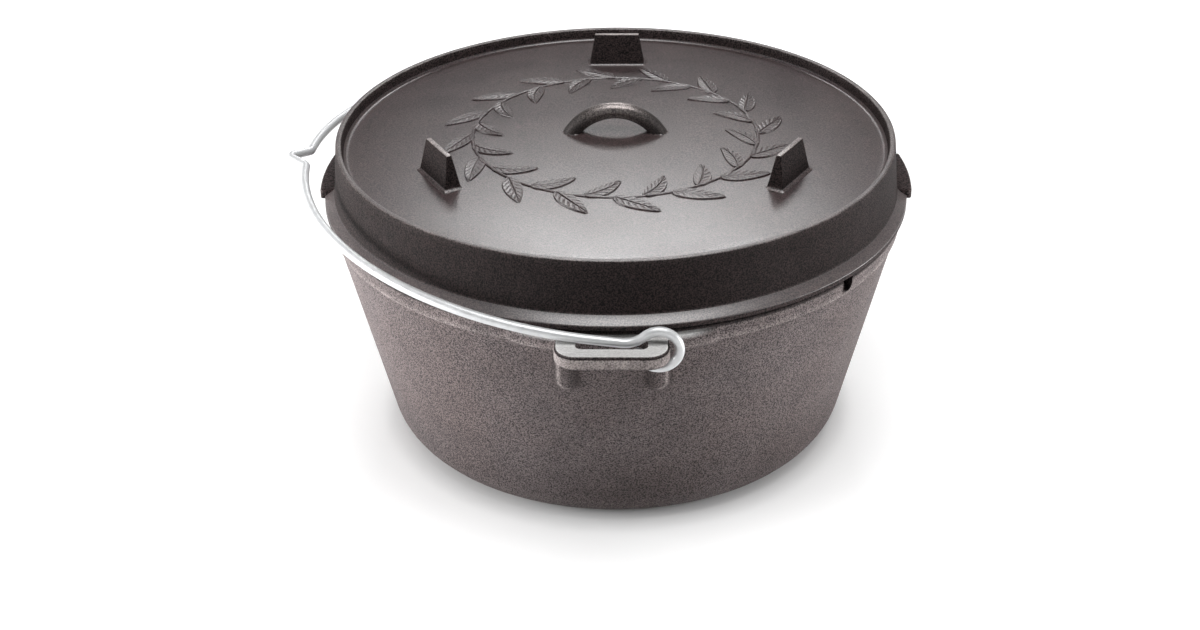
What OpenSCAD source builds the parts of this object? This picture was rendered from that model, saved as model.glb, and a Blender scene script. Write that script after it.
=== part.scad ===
// Camp dutch oven: cast pot, lift-off lid with a raised coal rim, cast-in lid loop and swinging wire bail.
// Millimetres. The origin is the middle of the flat base, +Z is up, the ears lie on the Y axis.

/* [Pot] */
// Outside diameter of the pot wall at the rim
rim_d = 405.6; // [360:0.2:440]
// Height of the pot from the ground to the rim
pot_h = 173; // [140:1:200]
// Diameter of the flat part of the base
base_d = 282.4; // [240:0.2:300]
// Radius of the outer corner between base and wall
base_corner = 26.5; // [15:0.5:40]
// Thickness of the pot wall
pot_wall = 5.5; // [4:0.1:8]
// Thickness of the pot base
pot_base = 6.5; // [5:0.1:10]
// Height of the thickened band round the rim
band_h = 12.5; // [9:0.5:20]
// How far the band stands out from the wall at its lower edge
band_low_proud = 1.3; // [0.6:0.1:3]
// How far the band stands out from the wall at the rim
band_top_proud = 0.4; // [0.2:0.1:2]
// Bevel along both edges of the band
band_edge = 1.2; // [0.6:0.1:2]

/* [Thermometer notch] */
// Width of the notch in the rim
notch_w = 9.5; // [5:0.5:12]
// Depth of the notch below the rim
notch_depth = 9; // [6:0.5:11]
// Direction of the notch round the pot, in degrees from +X
notch_turn = -41; // [-60:1:-25]

/* [Ears] */
// Length of an ear along the rim
ear_l = 72; // [64:1:90]
// Height of an ear from its underside to its ground top
ear_t = 9.5; // [7:0.5:12]
// Drop from the rim to the ground top of an ear
ear_drop = 3; // [2:0.5:5]
// Radius of an ear's outer corners
ear_corner = 14; // [6:0.5:15]
// Length of the slot through an ear
slot_l = 45; // [38:1:48]
// Wall left between the rim and the slot
slot_root = 3; // [2:0.5:5]
// Thickness of the bar outside the slot
ear_bar = 10.5; // [8:0.5:14]
// Height of the ground land on top of an ear
land_h = 1.7; // [1:0.1:2.5]
// How far the land is set back from the edge of the ear
land_inset = 0.9; // [0.5:0.1:1.5]
// Half the length over which the rim swells into an ear
swell_l = 63; // [50:1:75]
// How far the swelling stands out from the rim
swell_out = 5.5; // [4:0.5:8]
// Radius of the slot's corners
slot_corner = 4; // [2:0.5:5]
// Diameter of the two rounded ribs under an ear
rib_d = 13; // [10:0.5:13]
// How far the ribs run down below an ear
rib_drop = 37; // [28:1:45]
// How far the round lower end of a rib stands out from the wall
rib_nose = 3; // [1.5:0.5:5]

/* [Lid] */
// Height of the lid from its seat to the top of the raised rim
lid_h = 45.7; // [38:0.1:60]
// How far the flange reaches past the pot wall
flange_over = 2.5; // [1:0.1:4]
// Height of the flange's outer edge
flange_t = 5.2; // [4:0.1:8]
// Width of the sloping shoulder between flange edge and lid wall
shoulder_w = 7; // [5:0.5:10]
// Height that the shoulder climbs
shoulder_rise = 4.8; // [3:0.2:8]
// Inward lean of the lid wall, in degrees
lid_lean = 5.2; // [2:0.2:8]
// Thickness of the lid wall where it meets the plate
lid_wall = 5.5; // [4.5:0.1:8]
// Thickness of the raised rim at its top
rim_t = 3.8; // [3:0.1:6]
// Depth of the coal tray inside the raised rim, at its edge
tray_depth = 9; // [6:0.5:14]
// Rise of the domed plate from its edge to its middle
dome_rise = 7.5; // [4:0.5:9]
// Thickness of the plate
plate_t = 5.2; // [4:0.1:8]
// Depth of the locating lip that hangs inside the pot
lip_depth = 5; // [3:0.5:8]
// Thickness of the locating lip
lip_t = 3.5; // [2.5:0.1:4.5]
// Rounding of the lid's thin edges: raised rim and locating lip
thin_edge = 1.2; // [0.5:0.1:1.2]
// How far the flange's underside rises from the pot's rim to its outer edge
flange_relief = 2.2; // [1:0.1:2.5]
// Rounding of the outer edges of flange and grip lugs
flange_edge = 1.2; // [0.5:0.1:1.4]
// Fillet between shoulder and lid wall
shoulder_fillet = 2; // [1:0.5:8]
// Fillet between raised rim and coal tray
tray_fillet = 3; // [2:0.5:8]
// Fillet under the plate where it turns down into the lid wall
under_fillet = 8; // [4:0.5:12]

/* [Lid grip lugs] */
// How far a grip lug reaches past the flange
lug_over = 3.2; // [1:0.1:5]
// Height of a lug's top above the lid seat
lug_h = 10; // [8:0.1:16]
// Half the arc that a lug covers, in degrees
lug_arc = 8.5; // [5:0.5:12]
// How far the middle of a lug lies behind the lid's side, in degrees
lug_back = 2; // [0:0.5:6]

/* [Lid feet] */
// Distance of the feet from the middle of the lid
foot_place = 135; // [110:1:150]
// Length of a foot at its root
foot_l = 41; // [30:1:50]
// Length of a foot at its top
foot_top_l = 33; // [24:1:40]
// Thickness of a foot at its root
foot_t = 12; // [9:0.5:16]
// Thickness of a foot at its top
foot_top_t = 3.5; // [2.5:0.5:6]
// Height of the feet above the raised rim
foot_over_rim = 18; // [10:0.5:25]

/* [Lid loop] */
// Diameter of the loop's round bar
loop_bar = 11.5; // [9:0.1:14]
// Distance between the middles of the loop's legs on the plate
loop_span = 60; // [50:1:76]
// Height of the bar's middle above the plate
loop_rise = 16.3; // [14:0.1:24]
// Height of the casting bosses under the plate that hold the loop's ends
boss_h = 6; // [5:0.5:8]
// Iron round the loop's ends in the bosses
boss_wall = 4.2; // [3:0.1:6]

/* [Bail] */
// Diameter of the wire
wire_d = 6.2; // [5:0.1:7.5]
// Tilt of the bail above level as it lies on the ears, in degrees
bail_tilt = 6.9; // [5:0.1:8]
// Distance from the swing axis to the middle of the bow's arc
bow_offset = 38.9; // [32:0.1:60]
// How far the hanging notch stands out from the bow
hook_out = 11.5; // [9:0.5:16]
// Half the opening angle of the hanging notch, in degrees
hook_half_angle = 40; // [30:1:50]
// Bend radius of the wire in the hanging notch
hook_bend = 4.5; // [4:0.1:6]
// Bend radius of the wire where the leg climbs to its eye
leg_bend = 18; // [14:0.5:24]
// Where the eye's free end stops, in degrees round the eye from the leg
eye_end = 350; // [330:1:355]

/* [Clearances] */
// Gap between lid seat and pot rim
seat_gap = 0.3; // [0.1:0.05:0.6]
// Gap between the locating lip and the pot wall
lip_gap = 1.5; // [0.8:0.1:3]
// Gap between the resting bail and the ear that it lies on
rest_gap = 0.3; // [0.1:0.05:0.6]
// Gap between the wire and the rim's side of an ear's slot
slot_play = 1.5; // [1:0.1:4]
// Gap between the wire and the ear's outer bar
bar_play = 4.3; // [2:0.1:6]
// Gap between the eye and the corners of the arm that it turns on
eye_play = 1.6; // [0.8:0.1:3]
// Gap left by the cooling iron round the loop's ends
cast_gap = 0.05; // [0.02:0.01:0.15]
// How far the ribs stay behind the inner side of the wire
rib_gap = 0.5; // [0.2:0.1:1.5]

/* [Hidden] */
$fn = 96;
iron_brown = "#6b625e";
iron_dark = "#4d4846";
zinc = "#d4d8da";
corner_steps = 6;
dome_steps = 8;
wire_sides = 10;
eye_steps = 18;
bend_steps = 3;
bow_steps = 18;
overlap = 2;

// Pot wall: a straight line that leaves the base corner as a tangent and ends at the rim
rim_r = rim_d / 2;
base_r = base_d / 2;
wall_run = [rim_r - base_r, pot_h - base_corner];
wall_lean = 90 - atan2(wall_run[1], wall_run[0]) - asin(base_corner / norm(wall_run));
cavity_corner = base_corner - pot_wall;
function wall_r(z) = rim_r - (pot_h - z) * tan(wall_lean);
function cavity_r(z) = wall_r(z) - pot_wall / cos(wall_lean);
band_z = pot_h - band_h;

// Ear heights and distances from the pot's axis
ear_top = pot_h - ear_drop;
ear_low = ear_top - ear_t;
slot_w = wire_d + slot_play + bar_play;
slot_in = rim_r + slot_root;
slot_out = slot_in + slot_w;
ear_out = slot_out + ear_bar;
arm_x = (ear_l + slot_l) / 4;
arm_w = (ear_l - slot_l) / 2;

// Axis of a rib, as [distance from the pot's axis, height]: from its round lower end up into the arm
rib_low_z = ear_low - rib_drop + rib_d / 2;
rib_low = [wall_r(rib_low_z) - (rib_d / 2 - rib_nose) / cos(wall_lean), rib_low_z];
rib_high = [slot_in + slot_play - rib_gap - rib_d / 2, ear_low + ear_t / 3];
rib_slope = atan2(rib_high[0] - rib_low[0], rib_high[1] - rib_low[1]);

// Swing axis of the bail: the middle of each ear's +X arm
swing_x = arm_x;
swing_z = (ear_top + ear_low) / 2;
wire_r = wire_d / 2;
wire_y = slot_in + slot_play + wire_r;
eye_r = norm([arm_w, ear_t]) / 2 + eye_play + wire_r;

// Height of the leg over the swing axis that leaves the rest gap at the slot's far end
leg_up = (ear_top + rest_gap + wire_r / cos(bail_tilt) - swing_z) * cos(bail_tilt)
    - (swing_x + slot_l / 2) * sin(bail_tilt);
leg_start = sqrt(pow(eye_r + leg_bend, 2) - pow(leg_up + leg_bend, 2));
eye_start = atan2(leg_up + leg_bend, leg_start);

// Hanging notch: the bow, two outward bends, two straight sides and the tip's bend are tangent to each other
bow_r = wire_y;
tip_middle = bow_offset + bow_r + hook_out - hook_bend;
bow_end = asin(((tip_middle - bow_offset) * sin(hook_half_angle) + 2 * hook_bend) / (bow_r + hook_bend))
    - hook_half_angle;
function hook_foot() = [bow_offset, 0] + (bow_r + hook_bend) * [cos(bow_end), sin(bow_end)];

// Lid heights and radii
seat_z = pot_h + seat_gap;
flange_z = seat_z + flange_t;
shoulder_z = flange_z + shoulder_rise;
lid_z = seat_z + lid_h;
flange_r = rim_r + flange_over;
lid_base_r = flange_r - shoulder_w;
lid_top_r = lid_base_r - (lid_z - shoulder_z) * tan(lid_lean);
tray_z = lid_z - tray_depth;
tray_r = lid_top_r - rim_t - tray_depth * tan(2 * lid_lean);
lip_z = seat_z - lip_depth;
lip_r = cavity_r(lip_z) - lip_gap;
under_r = lid_base_r - (tray_z - plate_t - shoulder_z) * tan(lid_lean) - lid_wall;
lug_r = flange_r + lug_over;
lug_low = seat_z + flange_t / 2;
function dome_z(r) = tray_z + dome_rise * (1 - pow(r / tray_r, 2));

// Loop of the lid: an arc through the legs' middles on the plate
loop_foot_z = dome_z(loop_span / 2);
loop_r = (pow(loop_span / 2, 2) + pow(loop_rise, 2)) / (2 * loop_rise);
loop_mid_z = loop_foot_z + loop_rise - loop_r;
boss_z = loop_foot_z - plate_t - boss_h;
loop_end = acos((boss_z + boss_wall - loop_mid_z) / loop_r);
boss_x = loop_r * sin(loop_end);
boss_r = loop_bar / 2 + boss_wall;

// Points along an arc round a middle
function arc(middle, r, from, to, steps = corner_steps) =
    [for (i = [0:steps]) let (a = from + (to - from) * i / steps) middle + r * [cos(a), sin(a)]];

// The corner b between a and c, rounded with radius r, or left sharp where r is 0
function corner(a, b, c, r) =
    let (
        u = (a - b) / norm(a - b),
        v = (c - b) / norm(c - b),
        half = acos(u * v) / 2,
        middle = b + (u + v) / norm(u + v) * r / sin(half),
        p = b + u * r / tan(half) - middle,
        q = b + v * r / tan(half) - middle,
        from = atan2(p[1], p[0]),
        turn = atan2(p[0] * q[1] - p[1] * q[0], p * q)
    )
    r == 0 ? [b] : arc(middle, r, from, from + turn);

// A closed outline from corners [x, y, radius]
function outline(list) =
    let (n = len(list), xy = [for (k = list) [k[0], k[1]]])
    [for (i = [0:n - 1]) each corner(xy[(i + n - 1) % n], xy[i], xy[(i + 1) % n], list[i][2])];

function ear_outline(inset) =
    let (x = ear_l / 2 - inset, root = cavity_r(ear_low), out = ear_out - inset, r = ear_corner - inset)
    outline([[-x, -root, 0], [-x, -out, r], [x, -out, r], [x, -root, 0]]);

module pot_outside() {
    rotate_extrude()
        polygon(concat(
            [[0, 0]],
            arc([base_r, base_corner], base_corner, -90, -wall_lean, 2 * corner_steps),
            [
                [wall_r(band_z - band_edge), band_z - band_edge],
                [wall_r(band_z) + band_low_proud, band_z],
                [rim_r + band_top_proud, pot_h - band_edge],
                [rim_r + band_top_proud - band_edge, pot_h],
                [0, pot_h]
            ]
        ));
}

module pot_cavity() {
    middle_z = pot_base + cavity_corner;
    middle_r = cavity_r(middle_z) - cavity_corner / cos(wall_lean);
    rotate_extrude()
        polygon(concat(
            [[0, pot_base]],
            arc([middle_r, middle_z], cavity_corner, -90, -wall_lean, 2 * corner_steps),
            [[cavity_r(pot_h + overlap), pot_h + overlap], [0, pot_h + overlap]]
        ));
}

// Local swelling of the rim band where it runs into an ear
module ear_swell() {
    sag = swell_out + rim_r - sqrt(pow(rim_r, 2) - pow(swell_l, 2));
    swell_r = (pow(swell_l, 2) + pow(sag, 2)) / (2 * sag);
    translate([0, swell_r - rim_r - swell_out, ear_low])
        cylinder(r = swell_r, h = ear_t);
}

// Rounded rib that carries one arm of an ear down to the wall
module ear_rib(x) {
    translate([x, -rib_low[0], rib_low[1]])
        rotate([rib_slope, 0, 0]) {
            sphere(d = rib_d);
            cylinder(d = rib_d, h = norm(rib_high - rib_low));
        }
}

// One ear on the -Y side, before its slot is cut
module ear() {
    ear_swell();
    translate([0, 0, ear_low])
        linear_extrude(ear_t - land_h)
            polygon(ear_outline(0));
    translate([0, 0, ear_low])
        linear_extrude(ear_t)
            polygon(ear_outline(land_inset));
    ear_rib(-arm_x);
    ear_rib(arm_x);
}

module ear_slot() {
    x = slot_l / 2;
    r = slot_corner;
    translate([0, 0, ear_low - overlap])
        linear_extrude(ear_t + 2 * overlap)
            polygon(outline([[-x, -slot_in, r], [-x, -slot_out, r], [x, -slot_out, r], [x, -slot_in, r]]));
}

// Round-bottomed notch through the rim for a thermometer lead
module rim_notch() {
    reach = 2 * pot_wall;
    rotate(notch_turn)
        translate([rim_r - reach, 0, pot_h - notch_depth + notch_w / 2]) {
            rotate([0, 90, 0])
                cylinder(d = notch_w, h = 2 * reach);
            translate([0, -notch_w / 2, 0])
                cube([2 * reach, notch_w, notch_depth]);
        }
}

module pot() {
    color(iron_brown)
        difference() {
            union() {
                pot_outside();
                for (turn = [0, 180])
                    rotate(turn)
                        ear();
            }
            pot_cavity();
            for (turn = [0, 180])
                rotate(turn)
                    ear_slot();
            rim_notch();
        }
}

// Half section of the lid: underside, locating lip, flange, shoulder, wall, raised rim and domed tray
module lid_section() {
    out = [for (i = [0:dome_steps - 1]) i / dome_steps];
    back = [for (i = [dome_steps - 1:-1:0]) i / dome_steps];
    polygon(outline(concat(
        [for (k = out) [k * under_r, dome_z(k * under_r) - plate_t, 0]],
        [
            [under_r, dome_z(under_r) - plate_t, under_fillet],
            [lip_r - lip_t, lip_z, thin_edge],
            [lip_r, lip_z, thin_edge],
            [lip_r, seat_z, 0],
            [rim_r - band_edge, seat_z, 0],
            [flange_r, seat_z + flange_relief, flange_edge / 2],
            [flange_r, flange_z, flange_edge],
            [lid_base_r, shoulder_z, shoulder_fillet],
            [lid_top_r, lid_z, thin_edge],
            [lid_top_r - rim_t, lid_z, thin_edge],
            [tray_r, tray_z, tray_fillet]
        ],
        [for (k = back) [k * tray_r, dome_z(k * tray_r), 0]]
    )));
}

// Raised grip on the flange, on the +X side
module grip_lug() {
    in_r = lid_base_r - overlap;
    rotate(-lug_arc)
        rotate_extrude(angle = 2 * lug_arc)
            polygon(outline([
                [in_r, lug_low, 0],
                [lug_r, lug_low, flange_edge],
                [lug_r, seat_z + lug_h, flange_edge],
                [in_r, seat_z + lug_h, 0]
            ]));
}

// Wedge-shaped foot on the -Y side that lets the upturned lid stand
module lid_foot() {
    low = dome_z(foot_place) - overlap;
    high = lid_z + foot_over_rim;
    translate([0, -foot_place, 0])
        intersection() {
            rotate([90, 0, 0])
                linear_extrude(foot_t + overlap, center = true)
                    polygon([[-foot_l / 2, low], [foot_l / 2, low], [foot_top_l / 2, high], [-foot_top_l / 2, high]]);
            rotate([90, 0, 90])
                linear_extrude(foot_l + overlap, center = true)
                    polygon([[-foot_t / 2, low], [foot_t / 2, low], [foot_top_t / 2, high], [-foot_top_t / 2, high]]);
        }
}

// The loop's arc, with a gap left all round it and past its ends
module loop_arc(gap = 0) {
    sweep = 2 * (loop_end + asin(gap / loop_r));
    translate([0, 0, loop_mid_z])
        rotate([90, 0, 0])
            rotate(90 - sweep / 2)
                rotate_extrude(angle = sweep)
                    translate([loop_r, 0])
                        circle(d = loop_bar + 2 * gap);
}

module lid() {
    color(iron_dark)
        difference() {
            union() {
                rotate_extrude()
                    lid_section();
                for (i = [0:2])
                    rotate(60 + 120 * i)
                        lid_foot();
                for (turn = [lug_back, 180 - lug_back])
                    rotate(turn)
                        grip_lug();
                for (x = [-boss_x, boss_x])
                    translate([x, 0, boss_z])
                        cylinder(r = boss_r, h = boss_h + plate_t / 2);
            }
            loop_arc(cast_gap);
        }
}

module lid_handle() {
    color(iron_dark)
        loop_arc();
}

// Stations [x, y, heading] of a wire that follows an arc round a middle, with the heading in degrees
function bend_stations(middle, r, from, to, steps) =
    [
        for (i = [0:steps])
            let (a = from + (to - from) * i / steps)
            [middle[0] + r * cos(a), middle[1] + r * sin(a), a + (to > from ? 90 : -90)]
    ];

// Rings of points round the wire, for stations in the upright plane of an eye and in the plane of the bow
function eye_ring(s) =
    [
        for (k = [0:wire_sides - 1])
            let (a = 360 * k / wire_sides, c = wire_r * cos(a), d = wire_r * sin(a))
            [s[0] - d * sin(s[2]), wire_y + c, s[1] + d * cos(s[2])]
    ];
function bow_ring(s) =
    [
        for (k = [0:wire_sides - 1])
            let (a = 360 * k / wire_sides, c = wire_r * cos(a), d = wire_r * sin(a))
            [s[0] - c * sin(s[2]), s[1] + c * cos(s[2]), leg_up + d]
    ];

// Half of the wire on its own axes: X from the swing axis towards the notch, Z square to the bow's plane
function half_rings() =
    let (
        eye = concat(
            bend_stations([0, 0], eye_r, eye_end, eye_start, eye_steps),
            bend_stations([leg_start, leg_up + leg_bend], leg_bend, 180 + eye_start, 270, bend_steps)
        ),
        bow = concat(
            bend_stations([bow_offset, 0], bow_r, 90, bow_end, bow_steps),
            bend_stations(hook_foot(), hook_bend, 180 + bow_end, 270 - hook_half_angle, bend_steps),
            bend_stations([tip_middle, 0], hook_bend, 90 - hook_half_angle, 0, bend_steps)
        )
    )
    concat(
        [for (i = [0:len(eye) - 1]) if (i != eye_steps) eye_ring(eye[i])],
        [for (i = [0:len(bow) - 1]) if (i != bow_steps) bow_ring(bow[i])]
    );

// One tube through a list of rings, closed at both ends
module tube(rings) {
    n = wire_sides;
    last = len(rings) - 1;
    polyhedron(
        [for (ring = rings) each ring],
        concat(
            [[for (k = [0:n - 1]) k]],
            [
                for (i = [0:last - 1], k = [0:n - 1])
                    let (a = i * n + k, b = i * n + (k + 1) % n)
                    each [[a, a + n, b], [b, a + n, b + n]]
            ],
            [[for (k = [n - 1:-1:0]) last * n + k]]
        )
    );
}

module bail() {
    half = half_rings();
    other = [for (i = [len(half) - 2:-1:0]) [for (p = half[i]) [p[0], -p[1], p[2]]]];
    color(zinc)
        translate([swing_x, 0, swing_z])
            rotate([0, bail_tilt, 0])
                rotate(180)
                    tube(concat(half, other));
}

pot();
lid();
lid_handle();
bail();
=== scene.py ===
"""Camp dutch oven: a cast pot with two ears, a lid with a raised coal rim and a swinging wire bail.

Each piece is a surface worked out with numpy, in metres and on the frame's own axes, and rides on a body of
the part. The file is laid out as an add-on: sizes and colours are properties, each piece or group of like
pieces has an operator, and a panel in the 3D view's sidebar lists them.
"""

from types import SimpleNamespace

import bpy
import numpy as np
from bpy.props import FloatProperty, FloatVectorProperty, IntProperty, PointerProperty
from bpy.types import Operator, Panel, PropertyGroup
from mathutils import Matrix, Vector


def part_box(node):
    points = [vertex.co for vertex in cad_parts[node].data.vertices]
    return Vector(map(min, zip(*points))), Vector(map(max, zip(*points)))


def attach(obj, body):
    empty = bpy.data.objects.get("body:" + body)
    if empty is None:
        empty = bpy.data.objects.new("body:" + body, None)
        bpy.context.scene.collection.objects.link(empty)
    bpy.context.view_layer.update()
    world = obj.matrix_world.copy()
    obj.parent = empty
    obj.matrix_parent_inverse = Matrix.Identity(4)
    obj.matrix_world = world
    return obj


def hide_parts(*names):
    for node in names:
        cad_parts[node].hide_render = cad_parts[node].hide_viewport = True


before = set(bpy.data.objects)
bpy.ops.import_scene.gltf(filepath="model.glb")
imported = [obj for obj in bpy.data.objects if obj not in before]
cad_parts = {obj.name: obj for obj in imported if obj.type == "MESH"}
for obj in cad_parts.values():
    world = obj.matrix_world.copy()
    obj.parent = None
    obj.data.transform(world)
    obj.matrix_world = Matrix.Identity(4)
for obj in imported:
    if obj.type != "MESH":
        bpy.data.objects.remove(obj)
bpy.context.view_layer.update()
pot_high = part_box("pot")[1]
lid_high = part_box("lid")[1]

bl_info = {
    "name": "Camp Dutch Oven",
    "version": (1, 0, 0),
    "blender": (4, 5, 0),
    "location": "View3D > Sidebar > Oven",
    "description": "Builds a cast-iron camp dutch oven with lid, loop and wire bail, and its studio",
    "category": "Object",
}


# Properties

def length(name, description, default):
    """A length in metres."""
    return FloatProperty(name=name, description=description, default=default, precision=5, unit="LENGTH")


def angle(name, description, degrees):
    """An angle, given in degrees and kept in radians."""
    return FloatProperty(name=name, description=description, default=np.radians(degrees), unit="ROTATION")


def colour(name, description, default):
    """A colour in linear light."""
    return FloatVectorProperty(
        name=name, description=description, default=default, size=4, min=0, max=1, subtype="COLOR"
    )


def power(name, description, default):
    """A lamp's power in watts."""
    return FloatProperty(name=name, description=description, default=default, unit="POWER")


def strength(name, description, default):
    """A strength from 0 to 1."""
    return FloatProperty(name=name, description=description, default=default, min=0, max=1, subtype="FACTOR")


def number(name, description, default):
    """A number without a unit."""
    return FloatProperty(name=name, description=description, default=default)


def count(name, description, default, least):
    """A whole number of like things."""
    return IntProperty(name=name, description=description, default=default, min=least)


class PotSizes(PropertyGroup):
    """Sizes of the pot's casting."""

    rim_radius: length("Rim radius", "Outside radius of the wall at the rim", 0.2028)
    height: length("Height", "Height of the rim above the ground", pot_high.z)
    base_radius: length("Base radius", "Radius of the flat part of the base", 0.1412)
    base_corner: length("Base corner", "Outer radius between base and wall", 0.0265)
    wall: length("Wall", "Thickness of the wall", 0.0055)
    base: length("Base", "Thickness of the base", 0.0065)
    band_height: length("Band height", "Height of the thickened band round the rim", 0.0125)
    band_low: length("Band foot", "How far the band stands out at its lower edge", 0.0013)
    band_top: length("Band top", "How far the band stands out at the rim", 0.0004)
    band_edge: length("Band bevel", "Bevel along the edges of the band", 0.0012)
    rim_edge: length("Rim edge", "Rounding of the rim's edges", 0.0008)
    notch_width: length("Notch width", "Width of the notch in the rim", 0.0095)
    notch_depth: length("Notch depth", "Depth of the notch below the rim", 0.009)
    notch_turn: angle("Notch direction", "Direction of the notch round the pot, from +X", -41)


class EarSizes(PropertyGroup):
    """Sizes of the two ears that hold the bail."""

    length: length("Length", "Length of an ear along the rim", 0.072)
    reach: length("Reach", "Distance of an ear's outer side from the pot's axis", pot_high.y)
    drop: length("Drop", "Drop from the rim to the ground top of an ear", 0.003)
    height: length("Height", "Height of an ear", 0.0095)
    corner: length("Corner", "Radius of an ear's outer corners", 0.014)
    slot_length: length("Slot length", "Length of the slot through an ear", 0.045)
    slot_root: length("Slot root", "Iron left between rim and slot", 0.003)
    slot_width: length("Slot width", "Width of the slot", 0.012)
    slot_corner: length("Slot corner", "Radius of the slot's corners", 0.004)
    land_height: length("Land height", "Height of the ground land on top of an ear", 0.002)
    land_inset: length("Land inset", "Set-back of the land from the ear's edge", 0.0013)
    swell_half: length("Swelling", "Half the length over which the rim swells into an ear", 0.063)
    swell_out: length("Swelling height", "How far the swelling stands out from the rim", 0.0055)
    rib_width: length("Rib width", "Width of the ribs under an ear", 0.013)
    rib_drop: length("Rib drop", "How far the ribs run down below an ear", 0.037)
    rib_nose: length("Rib nose", "How far a rib's lower end stands out from the wall", 0.003)
    rib_front: length("Rib front", "Distance of a rib's top from the slot's inner side", 0.001)
    root_fillet: length("Root fillet", "Fillet between wall and underside of an ear", 0.003)


class LidSizes(PropertyGroup):
    """Sizes of the lid's casting, its lugs and its feet."""

    seat_gap: length("Seat gap", "Gap between lid seat and pot rim", 0.0003)
    height: length("Height", "Height from the seat to the top of the raised rim", 0.0457)
    flange_over: length("Flange reach", "How far the flange reaches past the pot wall", 0.0025)
    flange_height: length("Flange height", "Height of the flange's outer edge", 0.0052)
    flange_edge: length("Flange edge", "Rounding of flange and lugs", 0.0012)
    shoulder_width: length("Shoulder width", "Width of the sloping shoulder", 0.007)
    shoulder_rise: length("Shoulder rise", "Height that the shoulder climbs", 0.0048)
    shoulder_fillet: length("Shoulder fillet", "Fillet between shoulder and wall", 0.002)
    lean: angle("Wall lean", "Inward lean of the lid wall", 5.2)
    wall: length("Wall", "Thickness of the wall where it meets the plate", 0.0055)
    rim: length("Rim", "Thickness of the raised rim at its top", 0.0038)
    thin_edge: length("Thin edges", "Rounding of raised rim and locating lip", 0.0012)
    tray_depth: length("Tray depth", "Depth of the coal tray at its edge", 0.009)
    tray_fillet: length("Tray fillet", "Fillet between raised rim and tray", 0.003)
    dome_rise: length("Dome rise", "Rise of the plate from its edge to its middle", 0.0075)
    plate: length("Plate", "Thickness of the plate", 0.0052)
    under_fillet: length("Under fillet", "Fillet under the plate", 0.008)
    undercut: length("Undercut", "How far the flange's underside rises towards its outer edge", 0.0022)
    lip_depth: length("Lip depth", "Depth of the locating lip", 0.005)
    lip: length("Lip", "Thickness of the locating lip", 0.0035)
    lip_gap: length("Lip gap", "Gap between locating lip and pot wall", 0.0015)
    lug_over: length("Lug reach", "How far a grip lug reaches past the flange", 0.0032)
    lug_height: length("Lug height", "Height of a lug's top above the seat", 0.01)
    lug_arc: angle("Lug arc", "Half the arc that a lug covers", 8.5)
    lug_back: angle("Lug place", "How far a lug's middle lies behind the lid's side", 2)
    foot_place: length("Foot place", "Distance of the feet from the lid's middle", 0.135)
    foot_length: length("Foot length", "Length of a foot at its root", 0.041)
    foot_top_length: length("Foot top length", "Length of a foot at its top", 0.033)
    foot_thick: length("Foot thickness", "Thickness of a foot at its root", 0.012)
    foot_top_thick: length("Foot top thickness", "Thickness of a foot at its top", 0.0035)
    foot_top: length("Foot height", "Height of the feet's tops above the ground", lid_high.z)
    foot_edge: length("Foot edge", "Rounding of a foot's edges", 0.0006)
    foot_fillet: length("Foot fillet", "Fillet round a foot's root", 0.002)


class LoopSizes(PropertyGroup):
    """Sizes of the lid's loop and of what holds its ends."""

    bar: length("Bar", "Diameter of the round bar", 0.0115)
    span: length("Span", "Distance between the legs' middles on the plate", 0.06)
    rise: length("Rise", "Height of the bar's middle above the plate", 0.0163)
    boss_height: length("Boss height", "Height of the bosses under the plate", 0.006)
    boss_wall: length("Boss wall", "Iron round the loop's ends", 0.0042)
    collar_width: length("Collar width", "Width of the ragged collar round a leg", 0.0013)
    collar_height: length("Collar height", "Height of the ragged collar round a leg", 0.0016)


class BailSizes(PropertyGroup):
    """Sizes of the wire bail as it lies on the ears."""

    wire: length("Wire", "Diameter of the wire", 0.0062)
    slot_play: length("Slot play", "Gap between wire and the rim's side of the slot", 0.0015)
    eye_play: length("Eye play", "Gap between eye and the corners of its arm", 0.0016)
    rest_gap: length("Rest gap", "Gap between the wire and the ear that it lies on", 0.0003)
    tilt: angle("Tilt", "Tilt of the bail above level", 6.9)
    bow_offset: length("Bow offset", "Distance from swing axis to the middle of the bow", 0.0389)
    hook_out: length("Notch reach", "How far the hanging notch stands out", 0.0115)
    hook_half: angle("Notch angle", "Half the opening angle of the hanging notch", 40)
    hook_bend: length("Notch bend", "Bend radius in the hanging notch", 0.0045)
    leg_bend: length("Leg bend", "Bend radius where the leg climbs to its eye", 0.018)
    eye_end: angle("Eye end", "Where the eye's free end stops", 350)


class WreathSizes(PropertyGroup):
    """Sizes of the raised wreath of leaves on the lid."""

    radius: length("Radius", "Radius of the wreath's stem", 0.1)
    stem: length("Stem", "Width of the stem", 0.0026)
    leaf_length: length("Leaf length", "Length of a leaf", 0.034)
    leaf_width: length("Leaf width", "Width of a leaf", 0.0125)
    relief: length("Relief", "Height of the leaves above the plate", 0.0011)
    pairs: count("Leaf pairs", "Number of leaf pairs round the wreath", 16, 6)
    lean: angle("Leaf lean", "Angle between a leaf and the stem", 32)
    veins: count("Veins", "Number of side veins along a leaf", 7, 2)


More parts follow.
